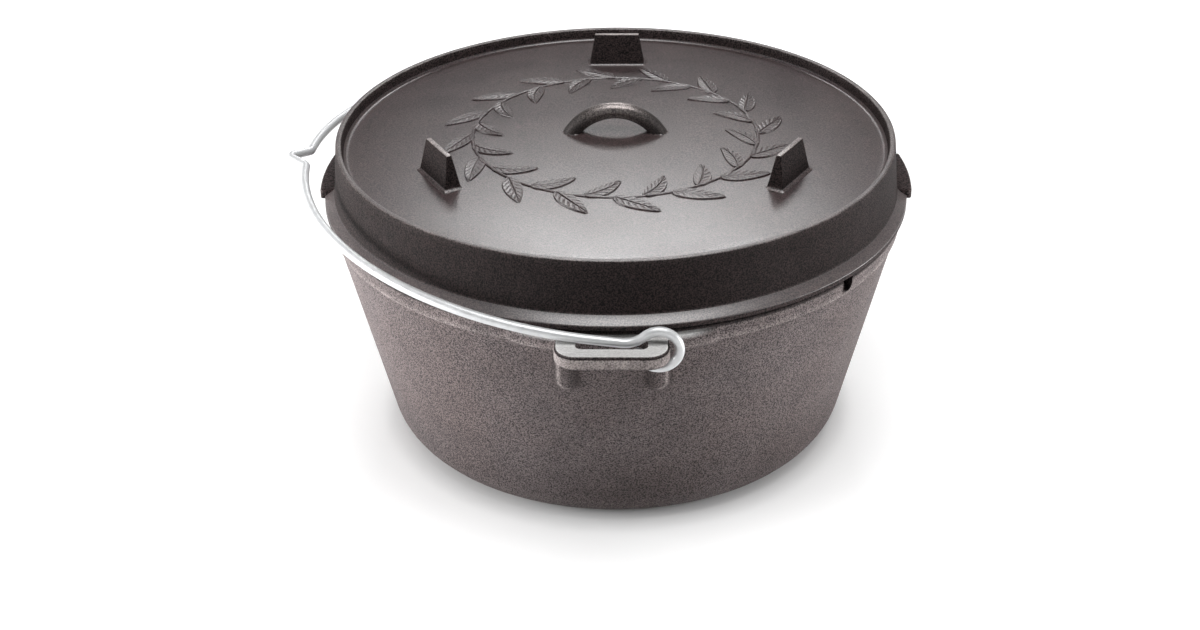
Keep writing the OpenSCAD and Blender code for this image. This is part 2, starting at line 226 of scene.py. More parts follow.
class Finishes(PropertyGroup):
    """Colours of the finishes."""

    pot: colour("Pot iron", "Seasoned iron of the pot", (0.138, 0.113, 0.113, 1))
    pot_warm: colour("Pot iron, warm", "Browner patches on the pot", (0.12, 0.094, 0.092, 1))
    lid: colour("Lid iron", "Seasoned iron of the lid", (0.058, 0.0425, 0.0435, 1))
    lid_warm: colour("Lid iron, warm", "Browner patches on the lid", (0.058, 0.039, 0.038, 1))
    loop: colour("Loop iron", "Smooth iron of the loop", (0.13, 0.113, 0.108, 1))
    loop_warm: colour("Loop iron, warm", "Browner patches on the loop", (0.12, 0.1, 0.094, 1))
    # Also the colour of painted light: the loop's crown highlight, the ears' outer faces, the ribs' outer
    # flanks and the feet's roots.
    worn_and_lit: colour("Worn edges", "Iron rubbed bright along the edges", (0.46, 0.405, 0.39, 1))
    # Also the colour of painted shade: under the ears, beside the ribs, low on the pot, in the notch, on the
    # rim, under the flange, on the lip and towards the loop's ends.
    soot: colour("Soot", "Matt black film on the lid's wall and feet", (0.0145, 0.0098, 0.0095, 1))
    ground: colour("Ground iron", "Bare iron of the ground faces", (0.66, 0.65, 0.64, 1))
    zinc: colour("Zinc", "Zinc plating of the wire", (0.76, 0.77, 0.78, 1))
    floor: colour("Floor", "Pale floor", (0.86, 0.86, 0.86, 1))


class MarkStrengths(PropertyGroup):
    """How rubbed, ground bare or blackened the iron is in places, and where light and shade are painted into
    its colour.
    """

    pot_wear: strength("Pot edges", "Wear along the pot's edges", 0.6)
    # Partly rubbed edges, partly painted light: only the ribs' outer flanks are lightened.
    rib_wear_and_light: strength("Rib wear", "Wear near the outer edges of the ribs", 0.8)
    # Painted shade in the corners beside the ribs and on their inner flanks.
    rib_shade: strength("Rib soot", "Soot beside the ribs and on their inner flanks", 0.6)
    # Painted shade on the wall under the ears.
    under_ear_shade: strength("Ear soot", "Soot on the wall under the ears", 0.5)
    # Painted shade: the pot darker low down, towards the floor.
    base_shade: strength("Base soot", "Soot low down on the pot", 0.4)
    # Painted shade: the rim darkened as the gap under the lid's flange.
    rim_shade: strength("Rim soot", "Soot on the pot's rim", 0.9)
    # Painted light: the ears' outer faces lightened as though lit from above in front.
    ear_face_light: strength("Ear wear", "Wear on the ears' outer faces", 0.85)
    # Painted shadow on the step under the edge of the ears' ground land.
    step_shade: strength("Step soot", "Soot on the step beside the ears' ground land", 0.95)
    tray_soot: strength("Tray soot", "Soot on the raised rim's inner side", 0.85)
    top_clean: strength("Clean rim", "Share of the soot rubbed off the top of the raised rim", 0.6)
    edge_soot: strength("Flange soot", "Soot on the flange's edge", 0.6)
    # Painted highlight: a little bare iron colour on the lid's shoulder stands in for its sheen.
    shoulder_sheen: strength("Bare shoulder", "How bare the lid's shoulder is", 0.08)
    lid_wear: strength("Lid edges", "Wear along the lid's upper edges", 0.25)
    lug_wear: strength("Lug wear", "Wear along the grip lugs' outer edges", 0.2)
    lug_soot: strength("Lug soot", "Soot on the grip lugs", 0.55)
    foot_wear: strength("Foot wear", "Wear on the tops of the feet", 0.6)
    # Painted highlight round the roots of the feet.
    root_highlight: strength("Foot roots", "Wear round the roots of the feet", 0.1)
    # Painted highlight on the front of the loop's crown.
    loop_highlight: strength("Loop wear", "Wear on the front of the loop's crown", 0.36)
    # Painted shade towards the loop's ends.
    loop_end_shade: strength("Loop soot", "Soot towards the loop's ends", 0.8)
    collar_wear: strength("Collar wear", "Wear on the ragged collars", 0.15)


class StageSizes(PropertyGroup):
    """Camera, floor and lamps."""

    focal: FloatProperty(name="Lens", description="Focal length", default=57, unit="CAMERA")
    distance: length("Camera distance", "Distance from camera to target", 1.40767)
    elevation: angle("Camera height", "Camera's angle above the horizon", 29.94)
    turn: angle("Camera turn", "Camera's turn round the pot", 1.35)
    roll: angle("Camera roll", "Camera's turn round its own axis", 0.64)
    target_x: length("Target, sideways", "Sideways place of the target", -0.01204)
    target_z: length("Target height", "Height of the target", 0.06889)
    floor_radius: length("Floor radius", "Radius of the floor", 30)
    floor_gap: length("Floor gap", "How far the floor lies below the base", 0.0002)
    floor_glow: number("Floor white", "Light that the floor adds towards the camera round the pot", 0.4)
    glow_start: length("White start", "Distance from the axis where that light starts", 0.148)
    glow_full: length("White full", "Distance from the axis where that light is full", 0.178)
    far_start: length("Far white start", "Distance from the axis where the floor starts to turn white", 0.5)
    far_full: length("Far white full", "Distance from the axis where the floor is white", 1.05)
    ambient: number("Ambient", "Strength of the surroundings' light", 0.08)
    horizon: number("Horizon", "Brightness of the surroundings, seen or mirrored, at the horizon", 1.0)
    backdrop: number("Backdrop", "Brightness of the surroundings, seen or mirrored, higher up", 0.08)
    fade_from: number("Fade start", "Height on a unit sphere where the horizon starts to fade", 0.07)
    fade_to: number("Fade end", "Height on a unit sphere where the horizon has faded", 0.16)
    top_power: power("Top lamp", "Power of the lamp overhead", 16.5)
    back_power: power("Back lamp", "Power of the strip behind", 10)
    left_power: power("Left lamp", "Power of the left lamp", 14)
    right_power: power("Right lamp", "Power of the right lamp", 7)


# Lines and surfaces

def unit(vectors):
    """Each vector divided by its own length."""
    return vectors / np.linalg.norm(vectors, axis=-1, keepdims=True)


def smooth(low, high, x):
    """The S-curve 3t^2 - 2t^3, where t runs from 0 at low to 1 at high."""
    t = np.clip((x - low) / (high - low), 0, 1)
    return t * t * (3 - 2 * t)


def bell(x, middle, width):
    """The bell curve e^(-t^2), where t is the distance from the middle over the width."""
    return np.exp(-((x - middle) / width) ** 2)


def full_turn(steps):
    """Equal steps of angle round a full turn."""
    return np.linspace(0, 2 * np.pi, steps, endpoint=False)


def turn_between(first, second):
    """The smaller angle between two directions."""
    return np.abs((first - second + np.pi) % (2 * np.pi) - np.pi)


def rounded_line(rows, steps=6, closed=False):
    """A line through rows of [x, y, rounding], each corner rounded by an arc.

    The arc's middle lies on the corner's bisector, at the radius over the sine of half the corner's angle.
    Its points run from one tangent point to the other in equal turns. Points in one place are dropped."""
    rows = np.asarray(rows, float)
    corner, radius = rows[:, :2], rows[:, 2]
    before = unit(np.roll(corner, 1, axis=0) - corner)
    after = unit(np.roll(corner, -1, axis=0) - corner)
    half = np.arccos(np.clip((before * after).sum(axis=1), -1, 1)) / 2
    middle = corner + unit(before + after) * (radius / np.sin(half))[:, None]
    tangent = (radius / np.tan(half))[:, None]
    start = corner + before * tangent - middle
    end = corner + after * tangent - middle
    turn = np.arctan2(start[:, 0] * end[:, 1] - start[:, 1] * end[:, 0], (start * end).sum(axis=1))
    along = np.arctan2(start[:, 1], start[:, 0])[:, None] + turn[:, None] * np.linspace(0, 1, steps + 1)
    arcs = middle[:, None] + radius[:, None, None] * np.stack([np.cos(along), np.sin(along)], axis=-1)
    if closed:
        line = np.vstack([*arcs, arcs[0, :1]])
    else:
        line = np.vstack([corner[:1], *arcs[1:-1], corner[-1:]])
    one_place = 1e-7
    return line[np.r_[True, np.linalg.norm(np.diff(line, axis=0), axis=1) > one_place]]


def cut_up(line, counts):
    """Each stretch of a line divided into its count of equal parts."""
    index = np.repeat(np.arange(len(counts)), counts)
    first = np.repeat(np.cumsum(counts) - counts, counts)
    part = (np.arange(counts.sum()) - first) / counts[index]
    return np.vstack([line[index] + part[:, None] * (line[index + 1] - line[index]), line[-1:]])


def parts_needed(line, step):
    """How many equal parts no longer than step each stretch of a line needs."""
    size = np.linalg.norm(np.diff(line, axis=0), axis=1)
    return np.maximum(1, np.ceil(size / step).astype(int))


def spread(line, step):
    """Points on a line no further apart than step, with the line's own points kept."""
    return cut_up(line, parts_needed(line, step))


def edge_wear(line, reach):
    """How rubbed a profile is: its turn to the left at each point, spread by a bell curve along the line."""
    step = np.diff(line, axis=0)
    heading = np.unwrap(np.arctan2(step[:, 1], step[:, 0]))
    turn = np.r_[0, np.clip(np.diff(heading), 0, None), 0]
    place = np.r_[0, np.cumsum(np.linalg.norm(step, axis=1))]
    return np.clip(bell(place[:, None], place[None, :], reach) @ turn, 0, 1)


def crowded_turn(columns, peaks):
    """Angles round the axis that crowd together near peaks of [middle, half width, weight].

    The density is 1 plus each peak's weight, which fades out just past the peak's width. Angles are read off
    the density's running sum at equal steps."""
    fine = np.linspace(-np.pi, np.pi, 40001)
    fade = 1.3
    density = np.ones_like(fine)
    for middle, half, weight in peaks:
        density += weight * (1 - smooth(half, fade * half, turn_between(fine, middle)))
    total = np.r_[0, np.cumsum((density[1:] + density[:-1]) / 2)]
    return np.interp(np.arange(columns) / columns * total[-1], total, fine)


def revolve(line, angles):
    """A profile of [radius, height] turned round Z to each angle, as a grid of [row, column, xyz]."""
    ring = np.stack([np.cos(angles), np.sin(angles), np.zeros_like(angles)], axis=-1)
    return line[:, None, :1] * ring + line[:, None, 1:] * np.array([0, 0, 1])


def tube(middle, side, up, radius, sides):
    """A circle carried along a path: middle + radius * (side * cos + up * sin) at each point."""
    turn = full_turn(sides)[None, :, None]
    return middle[:, None] + radius * (side[:, None] * np.cos(turn) + up[:, None] * np.sin(turn))


def box_section(corner_steps=5):
    """A rounded rectangle on its half sizes, as rows of two signs and two parts of a circle's direction.

    The signs multiply the half sizes less the corner, the direction multiplies the corner. At each corner
    the direction runs through a quarter turn. Between corners the signs go from one to the next while the
    direction stands still, with points close to both ends."""
    signs = np.array([[1, 1], [-1, 1], [-1, -1], [1, -1]], float)
    quarter = np.arange(4)[:, None] * np.pi / 2
    turn = quarter + np.linspace(0, np.pi / 2, corner_steps)
    part = np.array([0.04, 0.2, 0.4, 0.6, 0.8, 0.96])
    corner_sign = np.repeat(signs[:, None], corner_steps, axis=1)
    flat_sign = signs[:, None] + part[:, None] * (np.roll(signs, -1, axis=0) - signs)[:, None]
    sign = np.concatenate([corner_sign, flat_sign], axis=1)
    turn = np.concatenate([turn, np.repeat(quarter + np.pi / 2, len(part), axis=1)], axis=1)
    return np.concatenate([sign, np.stack([np.cos(turn), np.sin(turn)], axis=-1)], axis=-1).reshape(-1, 4)


# Meshes

# Channels of rubbed edges with painted light, of ground bare iron, and of Soot with painted shade.
MARKS = ("wear", "ground", "soot")


def marked(points, wear=0.0, ground=0.0, soot=0.0):
    """A grid of points with three more channels: rubbed edges with painted light, ground bare iron, and Soot
    with painted shade.
    """
    marks = [np.broadcast_to(mark, points.shape[:2])[..., None] for mark in (wear, ground, soot)]
    return np.concatenate([points, *marks], axis=-1)


def skin(points, ring=False):
    """Corners and faces over a grid whose columns close up on themselves.

    Rows close up too where ring is true; otherwise the end rows are closed by fans round their middles."""
    rows, cols = points.shape[:2]
    corners = points.reshape(rows * cols, -1)
    row = np.arange(rows if ring else rows - 1)[:, None]
    col = np.arange(cols)
    right = (col + 1) % cols
    here, there = row * cols, (row + 1) % rows * cols
    quads = np.stack([here + col, here + right, there + right, there + col], axis=-1).reshape(-1, 4)
    fans = np.zeros((0, 3), int)
    if not ring:
        corners = np.vstack([corners, points[[0, -1]].mean(axis=1)])
        end = (rows - 1) * cols
        first = np.stack([np.full(cols, rows * cols), right, col], axis=-1)
        last = np.stack([np.full(cols, rows * cols + 1), end + col, end + right], axis=-1)
        fans = np.vstack([first, last])
    return corners, quads, fans


def signed_volume(corners, quads, fans):
    """Six times the enclosed volume: the sum of each triangle's triple product."""
    triangles = np.vstack([quads[:, [0, 1, 2]], quads[:, [0, 2, 3]], fans])
    a, b, c = (corners[triangles[:, k], :3] for k in range(3))
    return np.einsum("ij,ij->i", a, np.cross(b, c)).sum()


def add_piece(name, grids, materials, body, node=None):
    """Puts pairs of a marked grid and its ring setting into one mesh object that rides on a body.

    The piece may stand for a node. Where it has two materials, faces more than half blackened take the
    second; the blackening is Soot in some places and painted shade in others."""
    corners, faces, sooty_and_shaded, offset = [], [], [], 0
    for points, ring in grids:
        part, quads, fans = skin(points, ring)
        order = slice(None) if signed_volume(part, quads, fans) > 0 else slice(None, None, -1)
        soot = part[:, 3 + MARKS.index("soot")]
        for kind in (quads, fans):
            sooty_and_shaded.append(soot[kind].mean(axis=1) > 0.5)
            faces += (kind[:, order] + offset).tolist()
        corners.append(part)
        offset += len(part)
    corners = np.vstack(corners)
    mesh = bpy.data.meshes.new(name)
    mesh.from_pydata(corners[:, :3], [], faces)
    mesh.shade_smooth()
    for channel, key in enumerate(MARKS, start=3):
        mark = mesh.attributes.new(key, "FLOAT", "POINT")
        mark.data.foreach_set("value", corners[:, channel].astype(np.float32))
    for material in materials:
        mesh.materials.append(material)
    if len(materials) > 1:
        mesh.polygons.foreach_set("material_index", np.concatenate(sooty_and_shaded).astype(np.int32))
    piece = bpy.data.objects.new(name, mesh)
    bpy.context.scene.collection.objects.link(piece)
    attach(piece, body)
    if node:
        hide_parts(node)


# Places that several pieces share

def wall_lean(pot):
    """The wall's lean: that of the line from the base corner's middle to the rim, less the angle between
    that line and the corner's tangent."""
    run, rise = pot.rim_radius - pot.base_radius, pot.height - pot.base_corner
    return np.pi / 2 - np.arctan2(rise, run) - np.arcsin(pot.base_corner / np.hypot(run, rise))


def wall_radius(pot, z):
    """Outside radius of the straight wall at a height: the rim's less the drop times the lean's tangent."""
    return pot.rim_radius - (pot.height - z) * np.tan(wall_lean(pot))


def cavity_radius(pot, z):
    """Inside radius of the wall at a height: the outside one less the wall measured level."""
    return wall_radius(pot, z) - pot.wall / np.cos(wall_lean(pot))


def ear_places(pot, ear):
    """Heights of an ear's top and underside, Y of its slot's inner side, and X of the middle of an arm."""
    at = SimpleNamespace()
    at.top = pot.height - ear.drop
    at.low = at.top - ear.height
    at.slot_in = pot.rim_radius + ear.slot_root
    at.arm_x = (ear.length + ear.slot_length) / 4
    return at


def lid_levels(pot, lid):
    """Heights and radii of the lid's profile, worked out from the pot's rim."""
    at = SimpleNamespace()
    at.seat = pot.height + lid.seat_gap
    at.flange_z = at.seat + lid.flange_height
    at.shoulder_z = at.flange_z + lid.shoulder_rise
    at.top = at.seat + lid.height
    at.tray_z = at.top - lid.tray_depth
    at.flange_r = pot.rim_radius + lid.flange_over
    at.base_r = at.flange_r - lid.shoulder_width
    at.top_r = at.base_r - (at.top - at.shoulder_z) * np.tan(lid.lean)
    at.tray_r = at.top_r - lid.rim - lid.tray_depth * np.tan(2 * lid.lean)
    return at


def dome_height(pot, lid, r):
    """Height of the plate's top: a paraboloid from the tray's edge to the middle."""
    at = lid_levels(pot, lid)
    return at.tray_z + lid.dome_rise * (1 - (r / at.tray_r) ** 2)


# Pot

def pot_profile(pot):
    """Half section of the pot from the axis under the base, up the wall, over the rim and down inside."""
    hub = 0.004
    edge = pot.rim_edge
    band_z = pot.height - pot.band_height
    foot_z = band_z - pot.band_edge
    return rounded_line([
        (hub, 0, 0),
        (wall_radius(pot, 0), 0, pot.base_corner),
        (wall_radius(pot, foot_z), foot_z, edge),
        (wall_radius(pot, band_z) + pot.band_low, band_z, edge),
        (pot.rim_radius + pot.band_top, pot.height, pot.band_edge),
        (cavity_radius(pot, pot.height), pot.height, edge),
        (cavity_radius(pot, pot.base), pot.base, pot.base_corner - pot.wall),
        (hub, pot.base, 0),
    ], steps=9)


def outer_wall(pot, line):
    """Which points of the pot's profile lie on its outside: off the base and before it first turns down."""
    rising = np.cumsum(np.r_[0, np.diff(line[:, 1]) < 0]) == 0
    return rising & (line[:, 0] > pot.base_radius)


def pot_line(pot, ear):
    """The pot's profile with close points along the ribs, and the index of the point where the ears end.

    That point lies just under an ear's ground top, and another is set just above it, so that the wall steps
    back there."""
    at = ear_places(pot, ear)
    coarse, close, under_top, step = 0.006, 0.001, 0.00015, 0.0002
    line = spread(pot_profile(pot), coarse)
    outside = outer_wall(pot, line)
    rib_z = at.low - ear.rib_drop - ear.rib_width / 2
    ribs = outside[:-1] & outside[1:] & (line[:-1, 1] > rib_z) & (line[:-1, 1] < at.low)
    line = cut_up(line, np.where(ribs, parts_needed(line, close), 1))
    end = np.flatnonzero(outer_wall(pot, line) & (line[:, 1] < at.top))[-1] + 1
    z = at.top - under_top
    r = wall_radius(pot, z) + np.interp(z, [at.low, pot.height], [pot.band_low, pot.band_top])
    return np.insert(line, end, [(r, z), (r, z + step)], axis=0), end


def rib_distance(pot, ear, x, z):
    """Distance from the nearer rib's middle line over half its width, and the height of the rib's nose."""
    at = ear_places(pot, ear)
    half = ear.rib_width / 2
    nose_z = at.low - ear.rib_drop + half
    return np.hypot(np.abs(x) - at.arm_x, np.clip(nose_z - z, 0, None)) / half, nose_z


def rim_swelling(pot, ear, x, y, z):
    """The rim's swelling: a circular arc through its crown and its two ends, held back to the slot's inner
    side along the slot, and blended into the wall by a parabola."""
    at = ear_places(pot, ear)
    run_out, clear, past_slot, above, below = 0.003, 0.0003, 0.001, 0.0005, 0.005
    sag = ear.swell_out + pot.rim_radius - np.sqrt(pot.rim_radius ** 2 - ear.swell_half ** 2)
    radius = (ear.swell_half ** 2 + sag ** 2) / (2 * sag)
    front = pot.rim_radius + ear.swell_out - radius + np.sqrt(np.clip(radius ** 2 - x ** 2, 0, None))
    along_slot = np.abs(x) < ear.slot_length / 2 + past_slot
    front = np.where(along_slot, np.minimum(front, at.slot_in - clear), front)
    over = front - np.abs(y)
    share = np.clip(0.5 + over / (2 * run_out), 0, 1)
    swelling = share * over + run_out * share * (1 - share)
    inside = np.abs(x) < ear.swell_half + run_out
    return swelling * smooth(at.low - below, at.low + above, z) * inside


def rib_swelling(pot, ear, x, z):
    """Two ribs whose height falls in a straight line from the ear to the nose, and whose section is
    1 / (1 + q^8), q being the distance from the rib's middle line over half its width."""
    at = ear_places(pot, ear)
    fade_from, fade_to = at.low + 0.003, at.low + 0.006
    q, nose_z = rib_distance(pot, ear, x, z)
    top_out = at.slot_in + ear.rib_front - wall_radius(pot, at.low)
    rise = ear.rib_nose + (top_out - ear.rib_nose) * np.clip((z - nose_z) / (at.low - nose_z), 0, 1)
    return rise / (1 + q ** 8) * (1 - smooth(fade_from, fade_to, z))


def fillet_swelling(pot, ear, x, z):
    """A quarter-round fillet under the ear that runs out past the ear's ends."""
    at = ear_places(pot, ear)
    radius, end, above = ear.root_fillet, ear.length / 2, 0.004
    below = np.clip(at.low - z, 0, radius)
    fillet = radius - np.sqrt(radius ** 2 - (radius - below) ** 2)
    run_out = 1 - smooth(end - 0.002, end + 0.004, np.abs(x))
    return fillet * run_out * (z < at.low + above)


def ear_bulge(pot, ear, x, y, z):
    """How far the wall is pushed out along Y near an ear: the fourth root of the sum of the fourth powers of
    the swellings of rim, ribs and fillet."""
    rim, ribs = rim_swelling(pot, ear, x, y, z), rib_swelling(pot, ear, x, z)
    return (rim ** 4 + ribs ** 4 + fillet_swelling(pot, ear, x, z) ** 4) ** 0.25


def ear_marks(pot, ear, marks, x, z):
    """Rubbing, painted light and painted shade near an ear.

    A bell curve across the ribs, near their outer edges, lightens only their outer flanks: partly rubbed
    edges and partly painted light. Painted shade is a bell curve in the corners beside the ribs, a film on
    their inner flanks, and a film under the ear that falls off exponentially."""
    at = ear_places(pot, ear)
    half, end = ear.rib_width / 2, ear.length / 2
    fade, past_end = 0.007, 0.008
    q, nose_z = rib_distance(pot, ear, x, z)
    on_ribs = smooth(nose_z - 2 * half, nose_z, z) * (1 - smooth(at.low - 0.001, at.low, z))
    inward = smooth(-0.3, 0.7, (at.arm_x - np.abs(x)) / half)
    # Partly rubbed edges, partly painted light: only the ribs' outer flanks are lightened.
    wear = marks.rib_wear_and_light * bell(q, 0.8, 0.14) * on_ribs * (1 - inward)
    # Painted shade in the corners beside the ribs and on their inner flanks.
    beside = marks.rib_shade * (bell(q, 1.2, 0.25) + inward * (1 - smooth(0.9, 1.3, q)))
    # Painted shade on the wall under the ear, falling off downwards.
    under = np.exp(-np.clip(at.low - z, 0, None) / fade) * (1 - smooth(end, end + past_end, np.abs(x)))
    under = marks.under_ear_shade * under * (z < at.low) * (q > 1)
    return wear, np.clip(beside * on_ribs + under, 0, 1)


def notch_floor(pot, angles):
    """Height that the rim is cut down to: a half-round trough at the notch, the rim itself elsewhere."""
    across = pot.rim_radius * turn_between(angles, pot.notch_turn)
    half = pot.notch_width / 2
    trough = pot.height - pot.notch_depth + half - np.sqrt(np.clip(half ** 2 - across ** 2, 0, None))
    return np.where(across < half, trough, pot.height)


def pot_body(pot, ear, marks):
    """The pot's profile turned round its axis, with the wall pushed out at the ears and the rim cut down at
    the notch.

    It is ground bare where the ears end and rubbed along its edges. Painted shade darkens it low down
    towards the floor and blackens the notch's cut faces and the rim, and the ears' painted light and shade
    are added near them."""
    line, end = pot_line(pot, ear)
    columns, ear_weight, notch_weight = 430, 2.8, 6.0
    ear_half = ear.swell_half / pot.rim_radius
    notch_half = pot.notch_width / pot.rim_radius
    angles = crowded_turn(columns, [
        (np.pi / 2, ear_half, ear_weight),
        (-np.pi / 2, ear_half, ear_weight),
        (pot.notch_turn, notch_half, notch_weight),
    ])
    points = revolve(line, angles)
    x, y, z = np.moveaxis(points, -1, 0)
    pushed = ((np.arange(len(line)) <= end) & (line[:, 0] > pot.base_radius))[:, None]
    bulge = ear_bulge(pot, ear, x, y, z) * pushed
    floor = notch_floor(pot, angles)
    rib_wear_and_light, soot = ear_marks(pot, ear, marks, x, z)
    rim_depth, base_from, base_to, edge_reach, cut_least = 0.0018, 0.002, 0.09, 0.0008, 1e-6
    on_rim = line[:, 1:] > pot.height - rim_depth
    # Painted shade: darker low down towards the floor, black on the notch's cut faces as the dark inside
    # seen through them, and dark on the rim as the gap under the lid's flange.
    soot = soot * pushed + marks.base_shade * (1 - smooth(base_from, base_to, z))
    soot = np.where(z > floor + cut_least, 1, soot)
    soot = np.where(on_rim, marks.rim_shade, soot)
    wear = marks.pot_wear * edge_wear(line, edge_reach)[:, None] + rib_wear_and_light * pushed
    wear = np.where(on_rim, 0, np.clip(wear, 0, 1))
    bare_from, bare_to = 0.0004, 0.0025
    ground = np.zeros_like(z)
    ground[end:end + 2] = smooth(bare_from, bare_to, bulge[end])
    shaped = np.stack([x, y + np.sign(y) * bulge, np.minimum(z, floor)], axis=-1)
    return marked(shaped, wear, ground, soot)


def ear_ring(pot, ear, marks, side):
    """One ear as a section carried round its slot.

    At each place the section runs from the slot's outline to the ear's outline: points on its inner half
    keep their distance from the slot, points on its outer half keep theirs from the ear's edge. Side is -1
    for the front ear and 1 for the rear."""
    at = ear_places(pot, ear)
    buried, root_corner, wide, parts = 0.0058, 0.001, 0.01, 4
    root = pot.rim_radius - buried
    slot_out = at.slot_in + ear.slot_width
    x, s, c = ear.length / 2, ear.slot_length / 2, ear.slot_corner
    outer = rounded_line([
        (-x, root, root_corner),
        (-x, ear.reach, ear.corner),
        (x, ear.reach, ear.corner),
        (x, root, root_corner),
    ], steps=8, closed=True)
    inner = rounded_line([
        (-s, at.slot_in, c), (-s, slot_out, c), (s, slot_out, c), (s, at.slot_in, c)
    ], steps=8, closed=True)
    outer, inner = (cut_up(line, np.full(len(line) - 1, parts))[:-1] for line in (outer, inner))
    inset, shelf = wide - ear.land_inset, at.top - ear.land_height
    slot_edge, land_edge, land_foot, face_top, face_low = 0.0008, 0.0004, 0.0003, 0.0006, 0.0014
    section = rounded_line([
        (0, at.low, slot_edge),
        (0, at.top, land_edge),
        (inset, at.top, land_edge),
        (inset, shelf, land_foot),
        (wide, shelf, face_top),
        (wide, at.low, face_low),
    ], steps=5, closed=True)
    across, height = spread(section, step=0.0016)[:-1].T
    far = across > wide / 2
    gap = np.linalg.norm(outer - inner, axis=1)[:, None]
    reach = np.where(far, gap + across - wide, across)
    plan = inner[:, None] + unit(outer - inner)[:, None] * reach[..., None]
    points = np.stack([plan[..., 0], side * plan[..., 1], np.broadcast_to(height, reach.shape)], axis=-1)
    hair = 0.0001
    ground = height > at.top - 3 * hair
    # Painted light: the ear's outer face is lightened as though lit from above in front.
    face = far & (height > at.low + 10 * hair) & (height < shelf - 2 * hair)
    # Painted shade: the step beside the land is darkened as the shadow line under the land's edge.
    step = (height < at.top - 4 * hair) & (height > shelf - hair)
    step &= (across > inset - 3 * hair) & (across < wide - 2 * hair)
    return marked(points, marks.ear_face_light * face, ground, marks.step_shade * step)


# Lid

def lid_profile(pot, lid):
    """Half section of the lid from the middle of the tray, over the raised rim, down to the flange and the
    locating lip, and back to the axis under the plate."""
    at = lid_levels(pot, lid)
    edge, seat_edge = lid.thin_edge, 0.0004
    lip_z = at.seat - lid.lip_depth
    lip_r = cavity_radius(pot, lip_z) - lid.lip_gap
    under_z = at.tray_z - lid.plate
    under_r = at.base_r - (under_z - at.shoulder_z) * np.tan(lid.lean) - lid.wall
    hub, rings = 0.02, 36
    share = np.linspace(hub, 1, rings)[:-1]
    tray_r, back_r = share * at.tray_r, share[::-1] * under_r
    tray = np.stack([tray_r, dome_height(pot, lid, tray_r), 0 * share], axis=-1)
    back = np.stack([back_r, dome_height(pot, lid, back_r) - lid.plate, 0 * share], axis=-1)
    turns = [
        (at.tray_r, at.tray_z, lid.tray_fillet),
        (at.top_r - lid.rim, at.top, edge),
        (at.top_r, at.top, edge),
        (at.base_r, at.shoulder_z, lid.shoulder_fillet),
        (at.flange_r, at.flange_z, lid.flange_edge),
        (at.flange_r, at.seat + lid.undercut, lid.flange_edge / 2),
        (pot.rim_radius - pot.band_edge, at.seat, seat_edge),
        (lip_r, at.seat, seat_edge),
        (lip_r, lip_z, edge),
        (lip_r - lid.lip, lip_z, edge),
        (under_r, dome_height(pot, lid, under_r) - lid.plate, lid.under_fillet),
    ]
    return spread(rounded_line(np.vstack([tray, turns, back]), steps=8), step=0.004)


def lid_body(pot, lid, marks):
    """The lid's profile turned round its axis.

    Its wall, the plate's underside and the raised rim's inner side are blackened with Soot, less so along
    the rim's top, and the flange's edge has a thinner film. The flange's underside, the seat and the
    locating lip are blackened as painted shade, for the gap under the flange and the lip seen through the
    notch. The shoulder has a little bare iron colour as a painted sheen, and the edges above it are rubbed."""
    line = lid_profile(pot, lid)
    at = lid_levels(pot, lid)
    columns, edge_reach = 360, 0.0014
    height = line[:, 1]
    outside = np.arange(len(line)) > np.argmax(height)
    wall_from, wall_to = at.shoulder_z - 0.0016, at.shoulder_z + 0.001
    rim_from, rim_to = at.tray_z + 0.0012, at.tray_z + 0.003
    top_from, top_to = at.top - 0.0009, at.top - 0.0002
    edge_top, shoulder_low = at.flange_z - 0.0002, at.flange_z - 0.0004
    wall = smooth(wall_from, wall_to, height)
    inner_rim = smooth(rim_from, rim_to, height) * (line[:, 0] > 0.9 * at.tray_r)
    # Painted shade: the flange's underside, the seat and the locating lip are darkened as the gap under the
    # flange and as the lip seen through the notch.
    under = height < at.seat + 0.9 * lid.undercut
    soot = np.where(outside, np.maximum(wall, under), marks.tray_soot * inner_rim)
    soot = soot * (1 - marks.top_clean * smooth(top_from, top_to, height))
    edge = outside & (height < edge_top) & ~under
    soot = np.maximum(soot, marks.edge_soot * edge)
    # Painted highlight: a little bare iron colour on the shoulder stands in for its sheen.
    shoulder = outside & (height > shoulder_low) & (height < wall_to)
    ground = marks.shoulder_sheen * shoulder * (1 - wall)
    wear = marks.lid_wear * edge_wear(line[::-1], edge_reach)[::-1] * (height > at.shoulder_z)
    points = revolve(line, full_turn(columns) - np.pi)
    return marked(points, wear[:, None], ground[:, None], soot[:, None])


